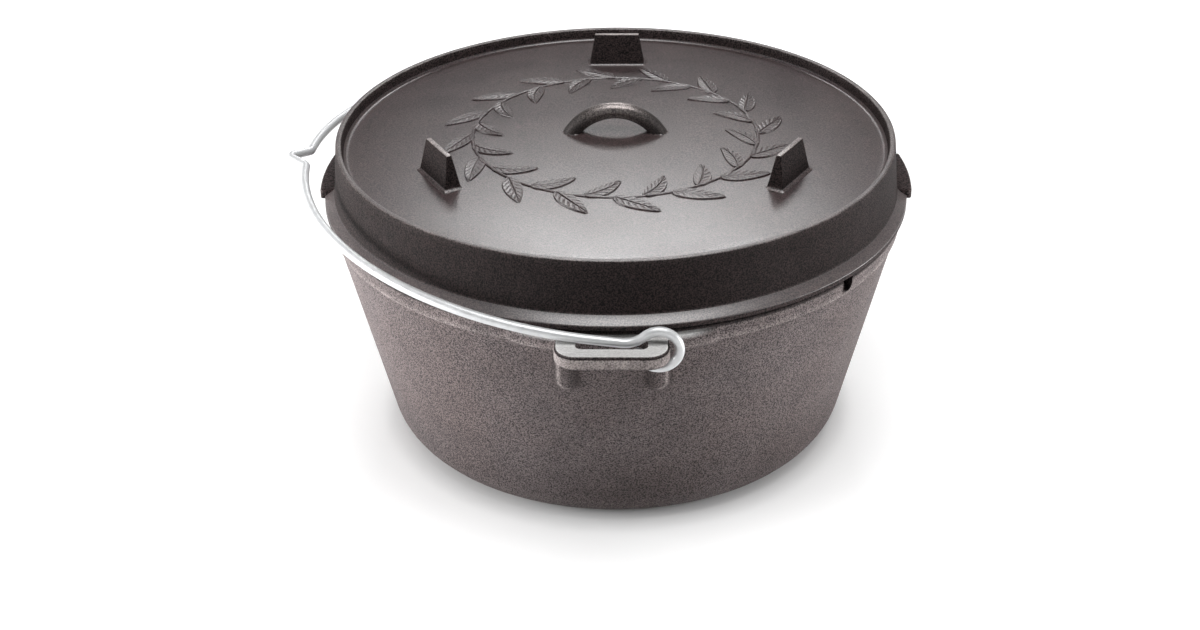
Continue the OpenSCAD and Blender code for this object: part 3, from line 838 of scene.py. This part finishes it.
def grip_lug(pot, lid, marks, turn):
    """A lug as a rounded rectangle of [radius, height] carried along an arc, and drawn in over its ends as a
    quarter circle falls."""
    at = lid_levels(pot, lid)
    buried = 0.002
    low, high = at.seat + lid.flange_height / 2, at.seat + lid.lug_height
    inner, outer = at.base_r - buried, at.flange_r + lid.lug_over
    sign_r, sign_z, circle_r, circle_z = box_section().T
    edge = lid.flange_edge
    end = 2 * edge
    half_arc = lid.lug_arc * outer
    ends = np.array([0, 0.02, 0.08, 0.18, 0.32, 0.5, 0.75, 1]) * end
    straight = np.linspace(end - half_arc, half_arc - end, 20)[1:-1]
    place = np.r_[-half_arc + ends, straight, half_arc - ends[::-1]]
    past = np.clip((np.abs(place) - (half_arc - end)) / end, 0, 1)
    draw = end * (1 - np.sqrt(1 - past ** 2))[:, None]
    half_r, half_z = (outer - inner) / 2 - draw, (high - low) / 2 - draw
    r = (outer + inner) / 2 + sign_r * (half_r - edge) + circle_r * edge
    z = (high + low) / 2 + sign_z * (half_z - edge) + circle_z * edge
    a = turn + place[:, None] / outer
    points = np.stack([r * np.cos(a), r * np.sin(a), z], axis=-1)
    outer_edges = (circle_r * circle_z > 0.2) & (circle_r > 0)
    return marked(points, marks.lug_wear * outer_edges, 0, marks.lug_soot)


def lid_foot(pot, lid, marks, turn):
    """A wedge foot: rounded rectangles whose half sizes fall in straight lines from root to top, with a
    fillet that flares out at the root and a quarter-round top edge."""
    floor = dome_height(pot, lid, lid.foot_place)
    edge, flare, buried = lid.foot_edge, lid.foot_fillet, 0.0015
    high = lid.foot_top
    z = np.r_[
        floor - buried,
        floor + flare * np.linspace(0, 1, 8),
        np.linspace(floor + flare, high - edge, 14)[1:],
        high - edge + edge * np.sin(np.linspace(0, np.pi / 2, 6)[1:]),
    ]
    share = (z - floor) / (high - floor)
    near = 1 - np.clip((z - floor) / flare, 0, 1)
    drawn = edge * (1 - np.sqrt(1 - np.clip((z - high + edge) / edge, 0, 1) ** 2))
    corner = (edge + flare * (1 - np.sqrt(1 - near ** 2)))[:, None]
    half_l = (lid.foot_length + (lid.foot_top_length - lid.foot_length) * share) / 2 - drawn
    half_t = (lid.foot_thick + (lid.foot_top_thick - lid.foot_thick) * share) / 2 - drawn
    sign_l, sign_t, circle_l, circle_t = box_section().T
    along = sign_l * (half_l - edge)[:, None] + circle_l * corner
    out = lid.foot_place + sign_t * (half_t - edge)[:, None] + circle_t * corner
    side, away = np.array([-np.sin(turn), np.cos(turn)]), np.array([np.cos(turn), np.sin(turn)])
    plan = along[..., None] * side + out[..., None] * away
    points = np.concatenate([plan, np.broadcast_to(z[:, None, None], along.shape + (1,))], axis=-1)
    top = smooth(high - edge, high, z)[:, None]
    clear = smooth(floor + 0.4 * flare, floor + flare, z)[:, None]
    # The roots' share is a painted highlight on the fillet round each foot.
    wear = marks.foot_wear * top + marks.root_highlight * (1 - clear)
    return marked(points, wear, 0, clear * (1 - top))


def boss(pot, lid, loop, x):
    """A round boss under the plate for one end of the loop: a rounded profile turned round its own axis."""
    hub, low_edge, flare, flare_bend = 0.0005, 0.0015, 0.002, 0.003
    foot = dome_height(pot, lid, loop.span / 2)
    low = foot - lid.plate - loop.boss_height
    high = foot - lid.plate / 2
    radius = loop.bar / 2 + loop.boss_wall
    line = rounded_line([
        (hub, low, 0),
        (radius, low, low_edge),
        (radius, foot - lid.plate, flare_bend),
        (radius + flare, high, 0),
        (hub, high, 0),
    ])
    return marked(revolve(spread(line, step=0.003), full_turn(48)) + [x, 0, 0])


# Loop

def loop_arc(pot, lid, loop):
    """Radius and middle's height of the circle through the loop's top and its two legs on the plate, and the
    angle from the top to the ends in the bosses."""
    foot = dome_height(pot, lid, loop.span / 2)
    radius = ((loop.span / 2) ** 2 + loop.rise ** 2) / (2 * loop.rise)
    middle = foot + loop.rise - radius
    end = np.arccos((foot - lid.plate - loop.boss_height + loop.boss_wall - middle) / radius)
    return radius, middle, end


def loop_bar(pot, lid, loop, marks):
    """A round bar along the loop's arc, with a painted highlight on the front of its crown and painted shade
    towards its ends, both by S-curves of the angle from the top."""
    sides, front_turn = 32, 0.5
    radius, middle, end = loop_arc(pot, lid, loop)
    a = np.linspace(-end, end, 96)
    out = np.stack([np.sin(a), np.zeros_like(a), np.cos(a)], axis=-1)
    points = tube(radius * out + [0, 0, middle], out, np.broadcast_to([0.0, 1.0, 0.0], out.shape),
                  loop.bar / 2, sides)
    from_top = (np.abs(a) / end)[:, None]
    front = smooth(0.5, 1, np.cos(full_turn(sides) + front_turn))
    # Painted highlight on the crown's front, painted shade towards the ends.
    crown = marks.loop_highlight * front * (1 - smooth(0.1, 0.5, from_top))
    return marked(points, crown, 0, marks.loop_end_shade * smooth(0.2, 0.7, from_top))


def loop_collar(pot, lid, loop, marks, side):
    """A ragged collar of iron round one leg: rings that close in on the bar as they climb, their width
    waving with a sum of sines round the leg."""
    buried, overlap = 0.0006, 0.0003
    radius, middle, _ = loop_arc(pot, lid, loop)
    turn = full_turn(72)
    climb = np.linspace(0, 1, 9)[:, None]
    ragged = 1 + 0.25 * np.sin(5 * turn + side) + 0.2 * np.sin(11 * turn + 2 * side)
    ragged = ragged + 0.12 * np.sin(23 * turn)
    foot = dome_height(pot, lid, loop.span / 2)
    z = foot - buried + loop.collar_height * climb * (0.8 + 0.2 * ragged)
    x = np.sqrt(radius ** 2 - (z - middle) ** 2)
    slant = radius / np.clip(x, 0.01, None)
    width = loop.bar / 2 - overlap + loop.collar_width * ragged * (1 - climb) ** 2
    points = np.stack([side * (x + width * slant * np.cos(turn)), width * np.sin(turn), z], axis=-1)
    return marked(points, marks.collar_wear)


# Wreath

def on_plate(pot, lid, plan, lift):
    """Points of a plan laid on the plate and lifted off it."""
    height = dome_height(pot, lid, np.linalg.norm(plan, axis=-1)) + lift
    return np.concatenate([plan, height[..., None]], axis=-1)


def wreath_leaf(pot, lid, wreath, turn, outward):
    """A raised leaf that leaves the stem at an angle.

    Its width is a sine of the way along. Its section has a flat top, steep sides and a groove along the
    midrib, and is closed under the plate. Side veins are grooves at equal steps of the way along less a
    share of the way across, so they run forward to the edge. It curls with the square of the way along."""
    least_half, vein_slant, vein_depth, vein_width, curl = 0.0003, 0.22, 0.55, 0.09, 0.16
    along = np.linspace(0.02, 1, 64)[:, None]
    side = np.r_[1, 1, 0.97, 0.93, 0.9, np.linspace(0.84, 0.16, 9), 0.1, 0.06]
    level = np.r_[-0.5, 0, 0.75, 0.97, 1, np.ones(9), 0.9, 0.5]
    across = np.r_[side, 0, -side[::-1]]
    level = np.r_[level, 0.2, level[::-1]]
    off = np.abs(across)
    half = wreath.leaf_width / 2 * np.sin(np.pi * along ** 0.75) ** 0.8 + least_half
    veined = smooth(0.08, 0.2, off) * (1 - smooth(0.8, 0.88, off)) * (level >= 1)
    vein = np.abs((wreath.veins * (along - vein_slant * off) + 0.5) % 1 - 0.5)
    tip = 1 - smooth(0.93, 1, along)
    lift = level - vein_depth * bell(vein, 0, vein_width) * veined
    lift = wreath.relief * lift * np.where(level > 0, tip, 1)
    ahead = wreath.leaf_length * along
    sideways = half * across + wreath.leaf_length * curl * along ** 2
    forward = ahead * np.cos(wreath.lean) - sideways * np.sin(wreath.lean)
    r = wreath.radius + outward * (ahead * np.sin(wreath.lean) + sideways * np.cos(wreath.lean))
    a = turn + forward / wreath.radius
    return marked(on_plate(pot, lid, np.stack([r * np.cos(a), r * np.sin(a)], axis=-1), lift))


def wreath_stem(pot, lid, wreath):
    """The wreath's stem: a low oval section carried round a ring on the plate."""
    steps, sides, flatness = 240, 12, 0.8
    a = full_turn(steps)
    out = np.stack([np.cos(a), np.sin(a), np.zeros_like(a)], axis=-1)
    path = on_plate(pot, lid, wreath.radius * out[:, :2], 0)
    up = np.broadcast_to([0.0, 0.0, flatness], out.shape)
    return marked(tube(path, out, up, wreath.stem / 2, sides))


# Bail

def bend(middle, radius, start, end, steps):
    """Points and headings along an arc in a plane, from one angle to another."""
    a = np.linspace(start, end, steps)
    heading = a + (np.pi / 2 if end > start else -np.pi / 2)
    return np.stack([middle[0] + radius * np.cos(a), middle[1] + radius * np.sin(a), heading], axis=-1)


def rounded_end(rings):
    """Rings that go on past a tube's first ring, drawn in by a cosine and moved out by a sine."""
    drawn, out = 0.25, 0.0008
    middle = rings[:2].mean(axis=1, keepdims=True)
    tail = unit(middle[0] - middle[1])
    turn = np.linspace(0, np.pi / 2, 5)[1:, None, None]
    size = 1 - drawn + drawn * np.cos(turn)
    return (middle[0] + (rings[0] - middle[0]) * size + tail * out * np.sin(turn))[::-1]


def bail_wire(pot, ear, bail):
    """The wire from one eye, along the leg and the bow to the hanging notch, and mirrored to the other eye.

    The eye and the leg's bend lie in an upright plane, the bow and its notch in a plane square to it. Arcs
    follow each other as tangents, so the circle's two directions change without a twist. The whole is then
    turned half round and tilted to its rest on the ears."""
    at = ear_places(pot, ear)
    radius, sides, tilt, half = bail.wire / 2, 20, bail.tilt, bail.hook_half
    swing_z = at.top - ear.height / 2
    arm = (ear.length - ear.slot_length) / 2
    wire_y = at.slot_in + bail.slot_play + radius
    eye_r = np.hypot(arm, ear.height) / 2 + bail.eye_play + radius
    leg_up = (at.top + bail.rest_gap + radius / np.cos(tilt) - swing_z) * np.cos(tilt)
    leg_up -= (at.arm_x + ear.slot_length / 2) * np.sin(tilt)
    leg_z = leg_up + bail.leg_bend
    leg_start = np.sqrt((eye_r + bail.leg_bend) ** 2 - leg_z ** 2)
    eye_start = np.arctan2(leg_z, leg_start)
    eye = np.vstack([
        bend((0, 0), eye_r, bail.eye_end, eye_start, steps=64)[:-1],
        bend((leg_start, leg_z), bail.leg_bend, np.pi + eye_start, 1.5 * np.pi, steps=16),
    ])
    hook_r = wire_y + bail.hook_bend
    tip_out = wire_y + bail.hook_out - bail.hook_bend
    bow_end = np.arcsin((tip_out * np.sin(half) + 2 * bail.hook_bend) / hook_r) - half
    hook = bail.bow_offset + hook_r * np.cos(bow_end), hook_r * np.sin(bow_end)
    bow = np.vstack([
        bend((bail.bow_offset, 0), wire_y, np.pi / 2, bow_end, steps=120)[:-1],
        bend(hook, bail.hook_bend, np.pi + bow_end, 1.5 * np.pi - half, steps=12),
        bend((bail.bow_offset + tip_out, 0), bail.hook_bend, np.pi / 2 - half, 0, steps=12),
    ])
    none, one = np.zeros(len(eye)), np.ones(len(eye))
    eye_path = np.stack([eye[:, 0], wire_y * one, eye[:, 1]], axis=-1)
    eye_side = np.stack([none, one, none], axis=-1)
    eye_up = np.stack([-np.sin(eye[:, 2]), none, np.cos(eye[:, 2])], axis=-1)
    none, one = np.zeros(len(bow)), np.ones(len(bow))
    bow_path = np.stack([bow[:, 0], bow[:, 1], leg_up * one], axis=-1)
    bow_side = np.stack([-np.sin(bow[:, 2]), np.cos(bow[:, 2]), none], axis=-1)
    bow_up = np.stack([none, none, one], axis=-1)
    side, up = np.vstack([eye_side, bow_side]), np.vstack([eye_up, bow_up])
    rings = tube(np.vstack([eye_path, bow_path]), side, up, radius, sides)
    rings = np.concatenate([rounded_end(rings), rings])
    rings = np.concatenate([rings, rings[-2::-1] * [1, -1, 1]])
    turn = np.array(Matrix.Rotation(tilt, 3, "Y") @ Matrix.Rotation(np.pi, 3, "Z"))
    return marked(rings @ turn.T + [at.arm_x, 0, swing_z])


# Materials

MIX_SHARE, MIX_FIRST, MIX_SECOND, MIX_RESULT = 0, 6, 7, 2


def feed(tree, inputs, values):
    """Sets inputs to values, or links them where a value is another node's output."""
    for key, value in values.items():
        if isinstance(value, bpy.types.NodeSocket):
            tree.links.new(value, inputs[key])
        else:
            inputs[key].default_value = value


def add_node(tree, kind, values, **settings):
    """A shader node with its settings, fed with values and other nodes' outputs."""
    made = tree.nodes.new(kind)
    for key, value in settings.items():
        setattr(made, key, value)
    feed(tree, made.inputs, values)
    return made


def new_material(name):
    """A material with its tree, its shader's inputs and the object's own coordinates."""
    material = bpy.data.materials.new(name)
    material.use_nodes = True
    tree = material.node_tree
    place = tree.nodes.new("ShaderNodeTexCoord").outputs["Object"]
    return material, tree, tree.nodes["Principled BSDF"].inputs, place


def noise(tree, place, scale, detail=2.0, rough=0.5):
    """Noise of a scale in features per metre."""
    return add_node(tree, "ShaderNodeTexNoise", {
        "Vector": place, "Scale": scale, "Detail": detail, "Roughness": rough
    }).outputs["Fac"]


def span(tree, value, low, high, to_low, to_high):
    """A value's stretch from low to high carried to another stretch."""
    return add_node(tree, "ShaderNodeMapRange", {
        "Value": value, "From Min": low, "From Max": high, "To Min": to_low, "To Max": to_high
    }).outputs["Result"]


def blend(tree, share, first, second, mode="MIX"):
    """Two colours mixed by a share."""
    sockets = {MIX_SHARE: share, MIX_FIRST: first, MIX_SECOND: second}
    return add_node(tree, "ShaderNodeMix", sockets, data_type="RGBA", blend_type=mode).outputs[MIX_RESULT]


def tint(tree, tone, value, low, high):
    """A colour multiplied by the middle stretch of a noise, carried to low and high."""
    return blend(tree, 1.0, tone, span(tree, value, 0.3, 0.7, low, high), "MULTIPLY")


def combine(tree, operation, first, second):
    """Two values joined by an operation."""
    return add_node(tree, "ShaderNodeMath", {0: first, 1: second}, operation=operation).outputs[0]


def times(tree, first, second):
    """The product of two values."""
    return combine(tree, "MULTIPLY", first, second)


def relief(tree, height, share, depth):
    """The normal of a surface with a share of a grain whose depth is in metres."""
    return add_node(tree, "ShaderNodeBump", {
        "Height": height, "Strength": share, "Distance": depth
    }).outputs["Normal"]


def mark_of(tree, name):
    """One of a mesh's own marks: rubbed edges with painted light, ground bare iron, and Soot with painted
    shade.
    """
    return add_node(tree, "ShaderNodeAttribute", {}, attribute_name=name).outputs["Fac"]


def cast_iron(name, main, warm, looks, rough, grain, gloss, speck, metal=0.0):
    """Seasoned sand casting.

    Brown and grey patches come first, then rubbed edges along with painted light, Soot along with painted
    shade, streaks and speckles of sand, and last the faces that are ground bare, with their fine scratches.
    The sand is relief too, calmer on ground faces. Soot and painted shade are duller, and ground faces have
    a shine and a metallic share of their own."""
    material, tree, shader, place = new_material(name)
    wear, ground, soot = (mark_of(tree, mark) for mark in MARKS)
    patches = noise(tree, place, 11, 6, 0.6)
    streaks = noise(tree, place, 42, 4, 0.55)
    grains = noise(tree, place, 1050, 1, 0.6)
    sand = noise(tree, place, 1500, 1, 0.5)
    scratches = add_node(tree, "ShaderNodeMapping", {"Vector": place, "Scale": (90, 1900, 300)})
    lines = noise(tree, scratches.outputs["Vector"], 1, 2, 0.6)
    white = (1, 1, 1, 1)
    bare_rough, sooty_rough, bare_metal = 0.36, 0.28, 0.1

    worn_and_lit = times(tree, wear, span(tree, streaks, 0.3, 0.65, 0.5, 1))
    tone = blend(tree, span(tree, patches, 0.38, 0.62, 0, 1), main, warm)
    # The rubbed-edge colour here also paints light, and the Soot colour below also paints shade, where the
    # marks carry them.
    tone = blend(tree, worn_and_lit, tone, looks.worn_and_lit)
    tone = blend(tree, times(tree, soot, 0.9), tone, looks.soot)
    tone = tint(tree, tone, streaks, 0.86, 1.12)
    speckle = span(tree, grains, 0.36, 0.64, 1 - speck, 1 + speck)
    speckle = blend(tree, times(tree, worn_and_lit, 0.7), speckle, white)
    tone = blend(tree, 1.0, tone, speckle, "MULTIPLY")
    bare = tint(tree, looks.ground, lines, 0.8, 1.1)
    bare = blend(tree, 1.0, bare, span(tree, grains, 0.36, 0.64, 0.88, 1.1), "MULTIPLY")
    tone = blend(tree, ground, tone, bare)

    height = combine(tree, "ADD", times(tree, grains, 0.75), times(tree, sand, 0.25))
    calm = combine(tree, "SUBTRACT", 1.0, times(tree, ground, 0.8))
    shine = span(tree, patches, 0.3, 0.7, rough - 0.02, rough + 0.05)
    shine = combine(tree, "ADD", shine, times(tree, soot, sooty_rough))
    shine = combine(tree, "SUBTRACT", shine, times(tree, ground, rough - bare_rough))
    feed(tree, shader, {
        "Base Color": tone,
        "Roughness": shine,
        "Metallic": combine(tree, "ADD", times(tree, ground, bare_metal), metal),
        "Normal": relief(tree, times(tree, height, calm), 0.9, grain),
        "Specular IOR Level": gloss,
    })
    return material


def zinc_plating(looks):
    """Bright zinc plating: faint clouds in its shine and the drawn wire's small unevenness."""
    material, tree, shader, place = new_material("zinc_plating")
    clouds = noise(tree, place, 160, 4, 0.6)
    feed(tree, shader, {
        "Base Color": tint(tree, looks.zinc, clouds, 0.9, 1.04),
        "Roughness": span(tree, clouds, 0.3, 0.7, 0.34, 0.44),
        "Metallic": 0.35,
        "Normal": relief(tree, noise(tree, place, 300), 0.05, 0.0002),
    })
    return material


def seen_directly(tree):
    """1 for rays from the camera and for those that a glossy or clear surface sends on, 0 for the rest."""
    path = tree.nodes.new("ShaderNodeLightPath").outputs
    seen = combine(tree, "MAXIMUM", path["Is Camera Ray"], path["Is Glossy Ray"])
    return combine(tree, "MAXIMUM", seen, path["Is Transmission Ray"])


def pale_floor(looks, stage):
    """A pale smooth floor with the shadow and a faint mirror image of the pot.

    Towards the camera it adds light: none under the pot, a share from just outside the pot's base, and all
    of it far away, where it runs into the surroundings."""
    material, tree, shader, place = new_material("pale_floor")
    away = add_node(tree, "ShaderNodeVectorMath", {0: place}, operation="LENGTH").outputs["Value"]
    near = span(tree, away, stage.glow_start, stage.glow_full, 0, stage.floor_glow)
    far = span(tree, away, stage.far_start, stage.far_full, 0, 1 - stage.floor_glow)
    feed(tree, shader, {
        "Base Color": tint(tree, looks.floor, noise(tree, place, 3, 3), 0.99, 1.01),
        "Roughness": 0.16,
        "Emission Color": (1, 1, 1, 1),
        "Emission Strength": times(tree, seen_directly(tree), combine(tree, "ADD", near, far)),
    })
    return material


# Operators

class OVEN_OT_pot(Operator):
    """Builds the pot with its two ears."""

    bl_idname = "oven.pot"
    bl_label = "Pot"

    def execute(self, context):
        scene = context.scene
        pot, ear, marks, looks = scene.oven_pot, scene.oven_ear, scene.oven_marks, scene.oven_looks
        iron = cast_iron("seasoned_pot", looks.pot, looks.pot_warm, looks,
                         rough=0.6, grain=0.0006, gloss=0.3, speck=0.85)
        grids = [(pot_body(pot, ear, marks), False)]
        grids += [(ear_ring(pot, ear, marks, side), True) for side in (-1, 1)]
        add_piece("pot_casting", grids, [iron], "pot", "pot")
        return {"FINISHED"}


class OVEN_OT_lid(Operator):
    """Builds the lid with its grip lugs, feet and bosses."""

    bl_idname = "oven.lid"
    bl_label = "Lid"

    def execute(self, context):
        scene = context.scene
        pot, lid, loop = scene.oven_pot, scene.oven_lid, scene.oven_loop
        marks, looks = scene.oven_marks, scene.oven_looks
        iron = cast_iron("seasoned_lid", looks.lid, looks.lid_warm, looks,
                         rough=0.3, grain=0.00012, gloss=1.0, speck=1.0)
        sooty_and_shaded = cast_iron("sooty_lid", looks.lid, looks.lid_warm, looks,
                          rough=0.5, grain=0.0007, gloss=0.17, speck=1.0)
        radius, _, end = loop_arc(pot, lid, loop)
        lug_turns = lid.lug_back, np.pi - lid.lug_back
        foot_turns = np.radians([90, 210, 330])
        grids = [(lid_body(pot, lid, marks), False)]
        grids += [(grip_lug(pot, lid, marks, turn), False) for turn in lug_turns]
        grids += [(boss(pot, lid, loop, side * radius * np.sin(end)), False) for side in (-1, 1)]
        add_piece("lid_casting", grids, [iron, sooty_and_shaded], "lid", "lid")
        feet = [(lid_foot(pot, lid, marks, turn), False) for turn in foot_turns]
        add_piece("lid_feet", feet, [iron, sooty_and_shaded], "lid")
        return {"FINISHED"}


class OVEN_OT_wreath(Operator):
    """Builds the raised wreath of leaves on the lid, in the lid's own iron."""

    bl_idname = "oven.wreath"
    bl_label = "Wreath"

    def execute(self, context):
        scene = context.scene
        pot, lid, wreath = scene.oven_pot, scene.oven_lid, scene.oven_wreath
        step = 2 * np.pi / wreath.pairs
        grids = [(wreath_stem(pot, lid, wreath), True)]
        for k in range(wreath.pairs):
            grids.append((wreath_leaf(pot, lid, wreath, k * step, 1), False))
            grids.append((wreath_leaf(pot, lid, wreath, (k + 0.5) * step, -1), False))
        add_piece("leaf_wreath", grids, [bpy.data.materials["seasoned_lid"]], "lid")
        return {"FINISHED"}


class OVEN_OT_loop(Operator):
    """Builds the lid's loop and, in the lid's own iron, the ragged collars round its legs."""

    bl_idname = "oven.loop"
    bl_label = "Loop"

    def execute(self, context):
        scene = context.scene
        pot, lid, loop = scene.oven_pot, scene.oven_lid, scene.oven_loop
        marks, looks = scene.oven_marks, scene.oven_looks
        iron = cast_iron("seasoned_loop", looks.loop, looks.loop_warm, looks,
                         rough=0.36, grain=0.00012, gloss=1.0, speck=0.65, metal=0.6)
        bar = loop_bar(pot, lid, loop, marks)
        add_piece("lid_loop", [(bar, False)], [iron], "lid", "lid_handle")
        collars = [(loop_collar(pot, lid, loop, marks, side), False) for side in (-1, 1)]
        add_piece("loop_collars", collars, [bpy.data.materials["seasoned_lid"]], "lid")
        return {"FINISHED"}


class OVEN_OT_bail(Operator):
    """Builds the wire bail."""

    bl_idname = "oven.bail"
    bl_label = "Bail"

    def execute(self, context):
        scene = context.scene
        wire = bail_wire(scene.oven_pot, scene.oven_ear, scene.oven_bail)
        zinc = zinc_plating(scene.oven_looks)
        add_piece("bail_wire", [(wire, False)], [zinc], "bail", "bail")
        return {"FINISHED"}


# Place, target, and width and depth of each soft lamp, in metres
LAMPS = {
    "top": ((0.1, -0.3, 1.5), (0.1, -0.3, 0), (1.0, 0.8)),
    "back": ((0, 1.25, 1.35), (0, 0, 0.2), (0.8, 0.4)),
    "left": ((-1.05, -0.15, 0.2), (0, 0, 0.12), (0.7, 0.25)),
    "right": ((1.05, -0.15, 0.2), (0, 0, 0.12), (0.7, 0.25)),
}


class OVEN_OT_stage(Operator):
    """Builds the pale floor, the soft lamps, the white surroundings and the camera."""

    bl_idname = "oven.stage"
    bl_label = "Stage"

    def execute(self, context):
        scene = context.scene
        stage = scene.oven_stage
        self.add_floor(scene, stage)
        self.add_surroundings(scene, stage)
        for name, (place, target, size) in LAMPS.items():
            self.add_lamp(scene, name + "_lamp", place, target, size, getattr(stage, name + "_power"))
        self.add_camera(scene, stage)
        scene.view_settings.view_transform = "Standard"
        return {"FINISHED"}

    def add_floor(self, scene, stage):
        """A flat round disc just below the base."""
        turn = full_turn(96)
        rim = stage.floor_radius * np.stack([np.cos(turn), np.sin(turn), 0 * turn], axis=-1)
        mesh = bpy.data.meshes.new("floor")
        mesh.from_pydata(rim - [0, 0, stage.floor_gap], [], [list(range(len(rim)))])
        mesh.materials.append(pale_floor(scene.oven_looks, stage))
        floor = bpy.data.objects.new("floor", mesh)
        scene.collection.objects.link(floor)

    def add_lamp(self, scene, name, place, target, size, watts):
        """A rectangular soft lamp turned towards a target."""
        lamp = bpy.data.lights.new(name, "AREA")
        lamp.shape = "RECTANGLE"
        lamp.size, lamp.size_y = size
        lamp.energy = watts
        holder = bpy.data.objects.new(name, lamp)
        holder.location = place
        holder.rotation_euler = (Vector(target) - Vector(place)).to_track_quat("-Z", "Y").to_euler()
        scene.collection.objects.link(holder)

    def add_surroundings(self, scene, stage):
        """Weak even light, and a white horizon that fades upwards where it is seen or mirrored."""
        world = bpy.data.worlds.new("surroundings")
        world.use_nodes = True
        tree = world.node_tree
        direction = tree.nodes.new("ShaderNodeTexCoord").outputs["Generated"]
        height = add_node(tree, "ShaderNodeSeparateXYZ", {"Vector": direction}).outputs["Z"]
        seen = span(tree, height, stage.fade_from, stage.fade_to, stage.horizon, stage.backdrop)
        light = span(tree, seen_directly(tree), 0, 1, stage.ambient, seen)
        feed(tree, tree.nodes["Background"].inputs, {"Color": (1, 1, 1, 1), "Strength": light})
        scene.world = world

    def add_camera(self, scene, stage):
        """A camera set back from its target along its line of sight, rolled about it and turned round Z."""
        tilt, roll = stage.elevation, stage.roll
        back = np.array([0, -np.cos(tilt), np.sin(tilt)])
        level = np.array([1.0, 0, 0])
        upright = np.array([0, np.sin(tilt), np.cos(tilt)])
        right = np.cos(roll) * level - np.sin(roll) * upright
        up = np.sin(roll) * level + np.cos(roll) * upright
        place = np.array([stage.target_x, 0, stage.target_z]) + stage.distance * back
        axes = Matrix(np.stack([right, up, back]).tolist()).transposed().to_4x4()
        camera = bpy.data.cameras.new("camera")
        camera.lens = stage.focal
        holder = bpy.data.objects.new("camera", camera)
        holder.matrix_world = Matrix.Rotation(stage.turn, 4, "Z") @ Matrix.Translation(place) @ axes
        scene.collection.objects.link(holder)
        scene.camera = holder


class OVEN_PT_panel(Panel):
    """Lists the oven's pieces, sizes and finishes."""

    bl_idname = "OVEN_PT_panel"
    bl_label = "Camp Dutch Oven"
    bl_space_type = "VIEW_3D"
    bl_region_type = "UI"
    bl_category = "Oven"

    def draw(self, context):
        for kind in OPERATORS:
            self.layout.operator(kind.bl_idname)
        for key in GROUPS:
            sizes = getattr(context.scene, key)
            box = self.layout.box()
            box.label(text=sizes.bl_rna.name)
            for name in sizes.__annotations__:
                box.prop(sizes, name)


GROUPS = {
    "oven_pot": PotSizes,
    "oven_ear": EarSizes,
    "oven_lid": LidSizes,
    "oven_loop": LoopSizes,
    "oven_bail": BailSizes,
    "oven_wreath": WreathSizes,
    "oven_looks": Finishes,
    "oven_marks": MarkStrengths,
    "oven_stage": StageSizes,
}
OPERATORS = (OVEN_OT_pot, OVEN_OT_lid, OVEN_OT_wreath, OVEN_OT_loop, OVEN_OT_bail, OVEN_OT_stage)


def register():
    """Registers the property groups on the scene, the operators and the panel."""
    for key, group in GROUPS.items():
        bpy.utils.register_class(group)
        setattr(bpy.types.Scene, key, PointerProperty(type=group))
    for kind in (*OPERATORS, OVEN_PT_panel):
        bpy.utils.register_class(kind)


def unregister():
    """Takes away what register added, in the opposite order."""
    for kind in (OVEN_PT_panel, *reversed(OPERATORS)):
        bpy.utils.unregister_class(kind)
    for key, group in reversed(GROUPS.items()):
        delattr(bpy.types.Scene, key)
        bpy.utils.unregister_class(group)


def main():
    """Registers the add-on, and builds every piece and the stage."""
    register()
    bpy.ops.oven.pot()
    bpy.ops.oven.lid()
    bpy.ops.oven.wreath()
    bpy.ops.oven.loop()
    bpy.ops.oven.bail()
    bpy.ops.oven.stage()
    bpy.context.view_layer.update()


if __name__ == "__main__":
    main()
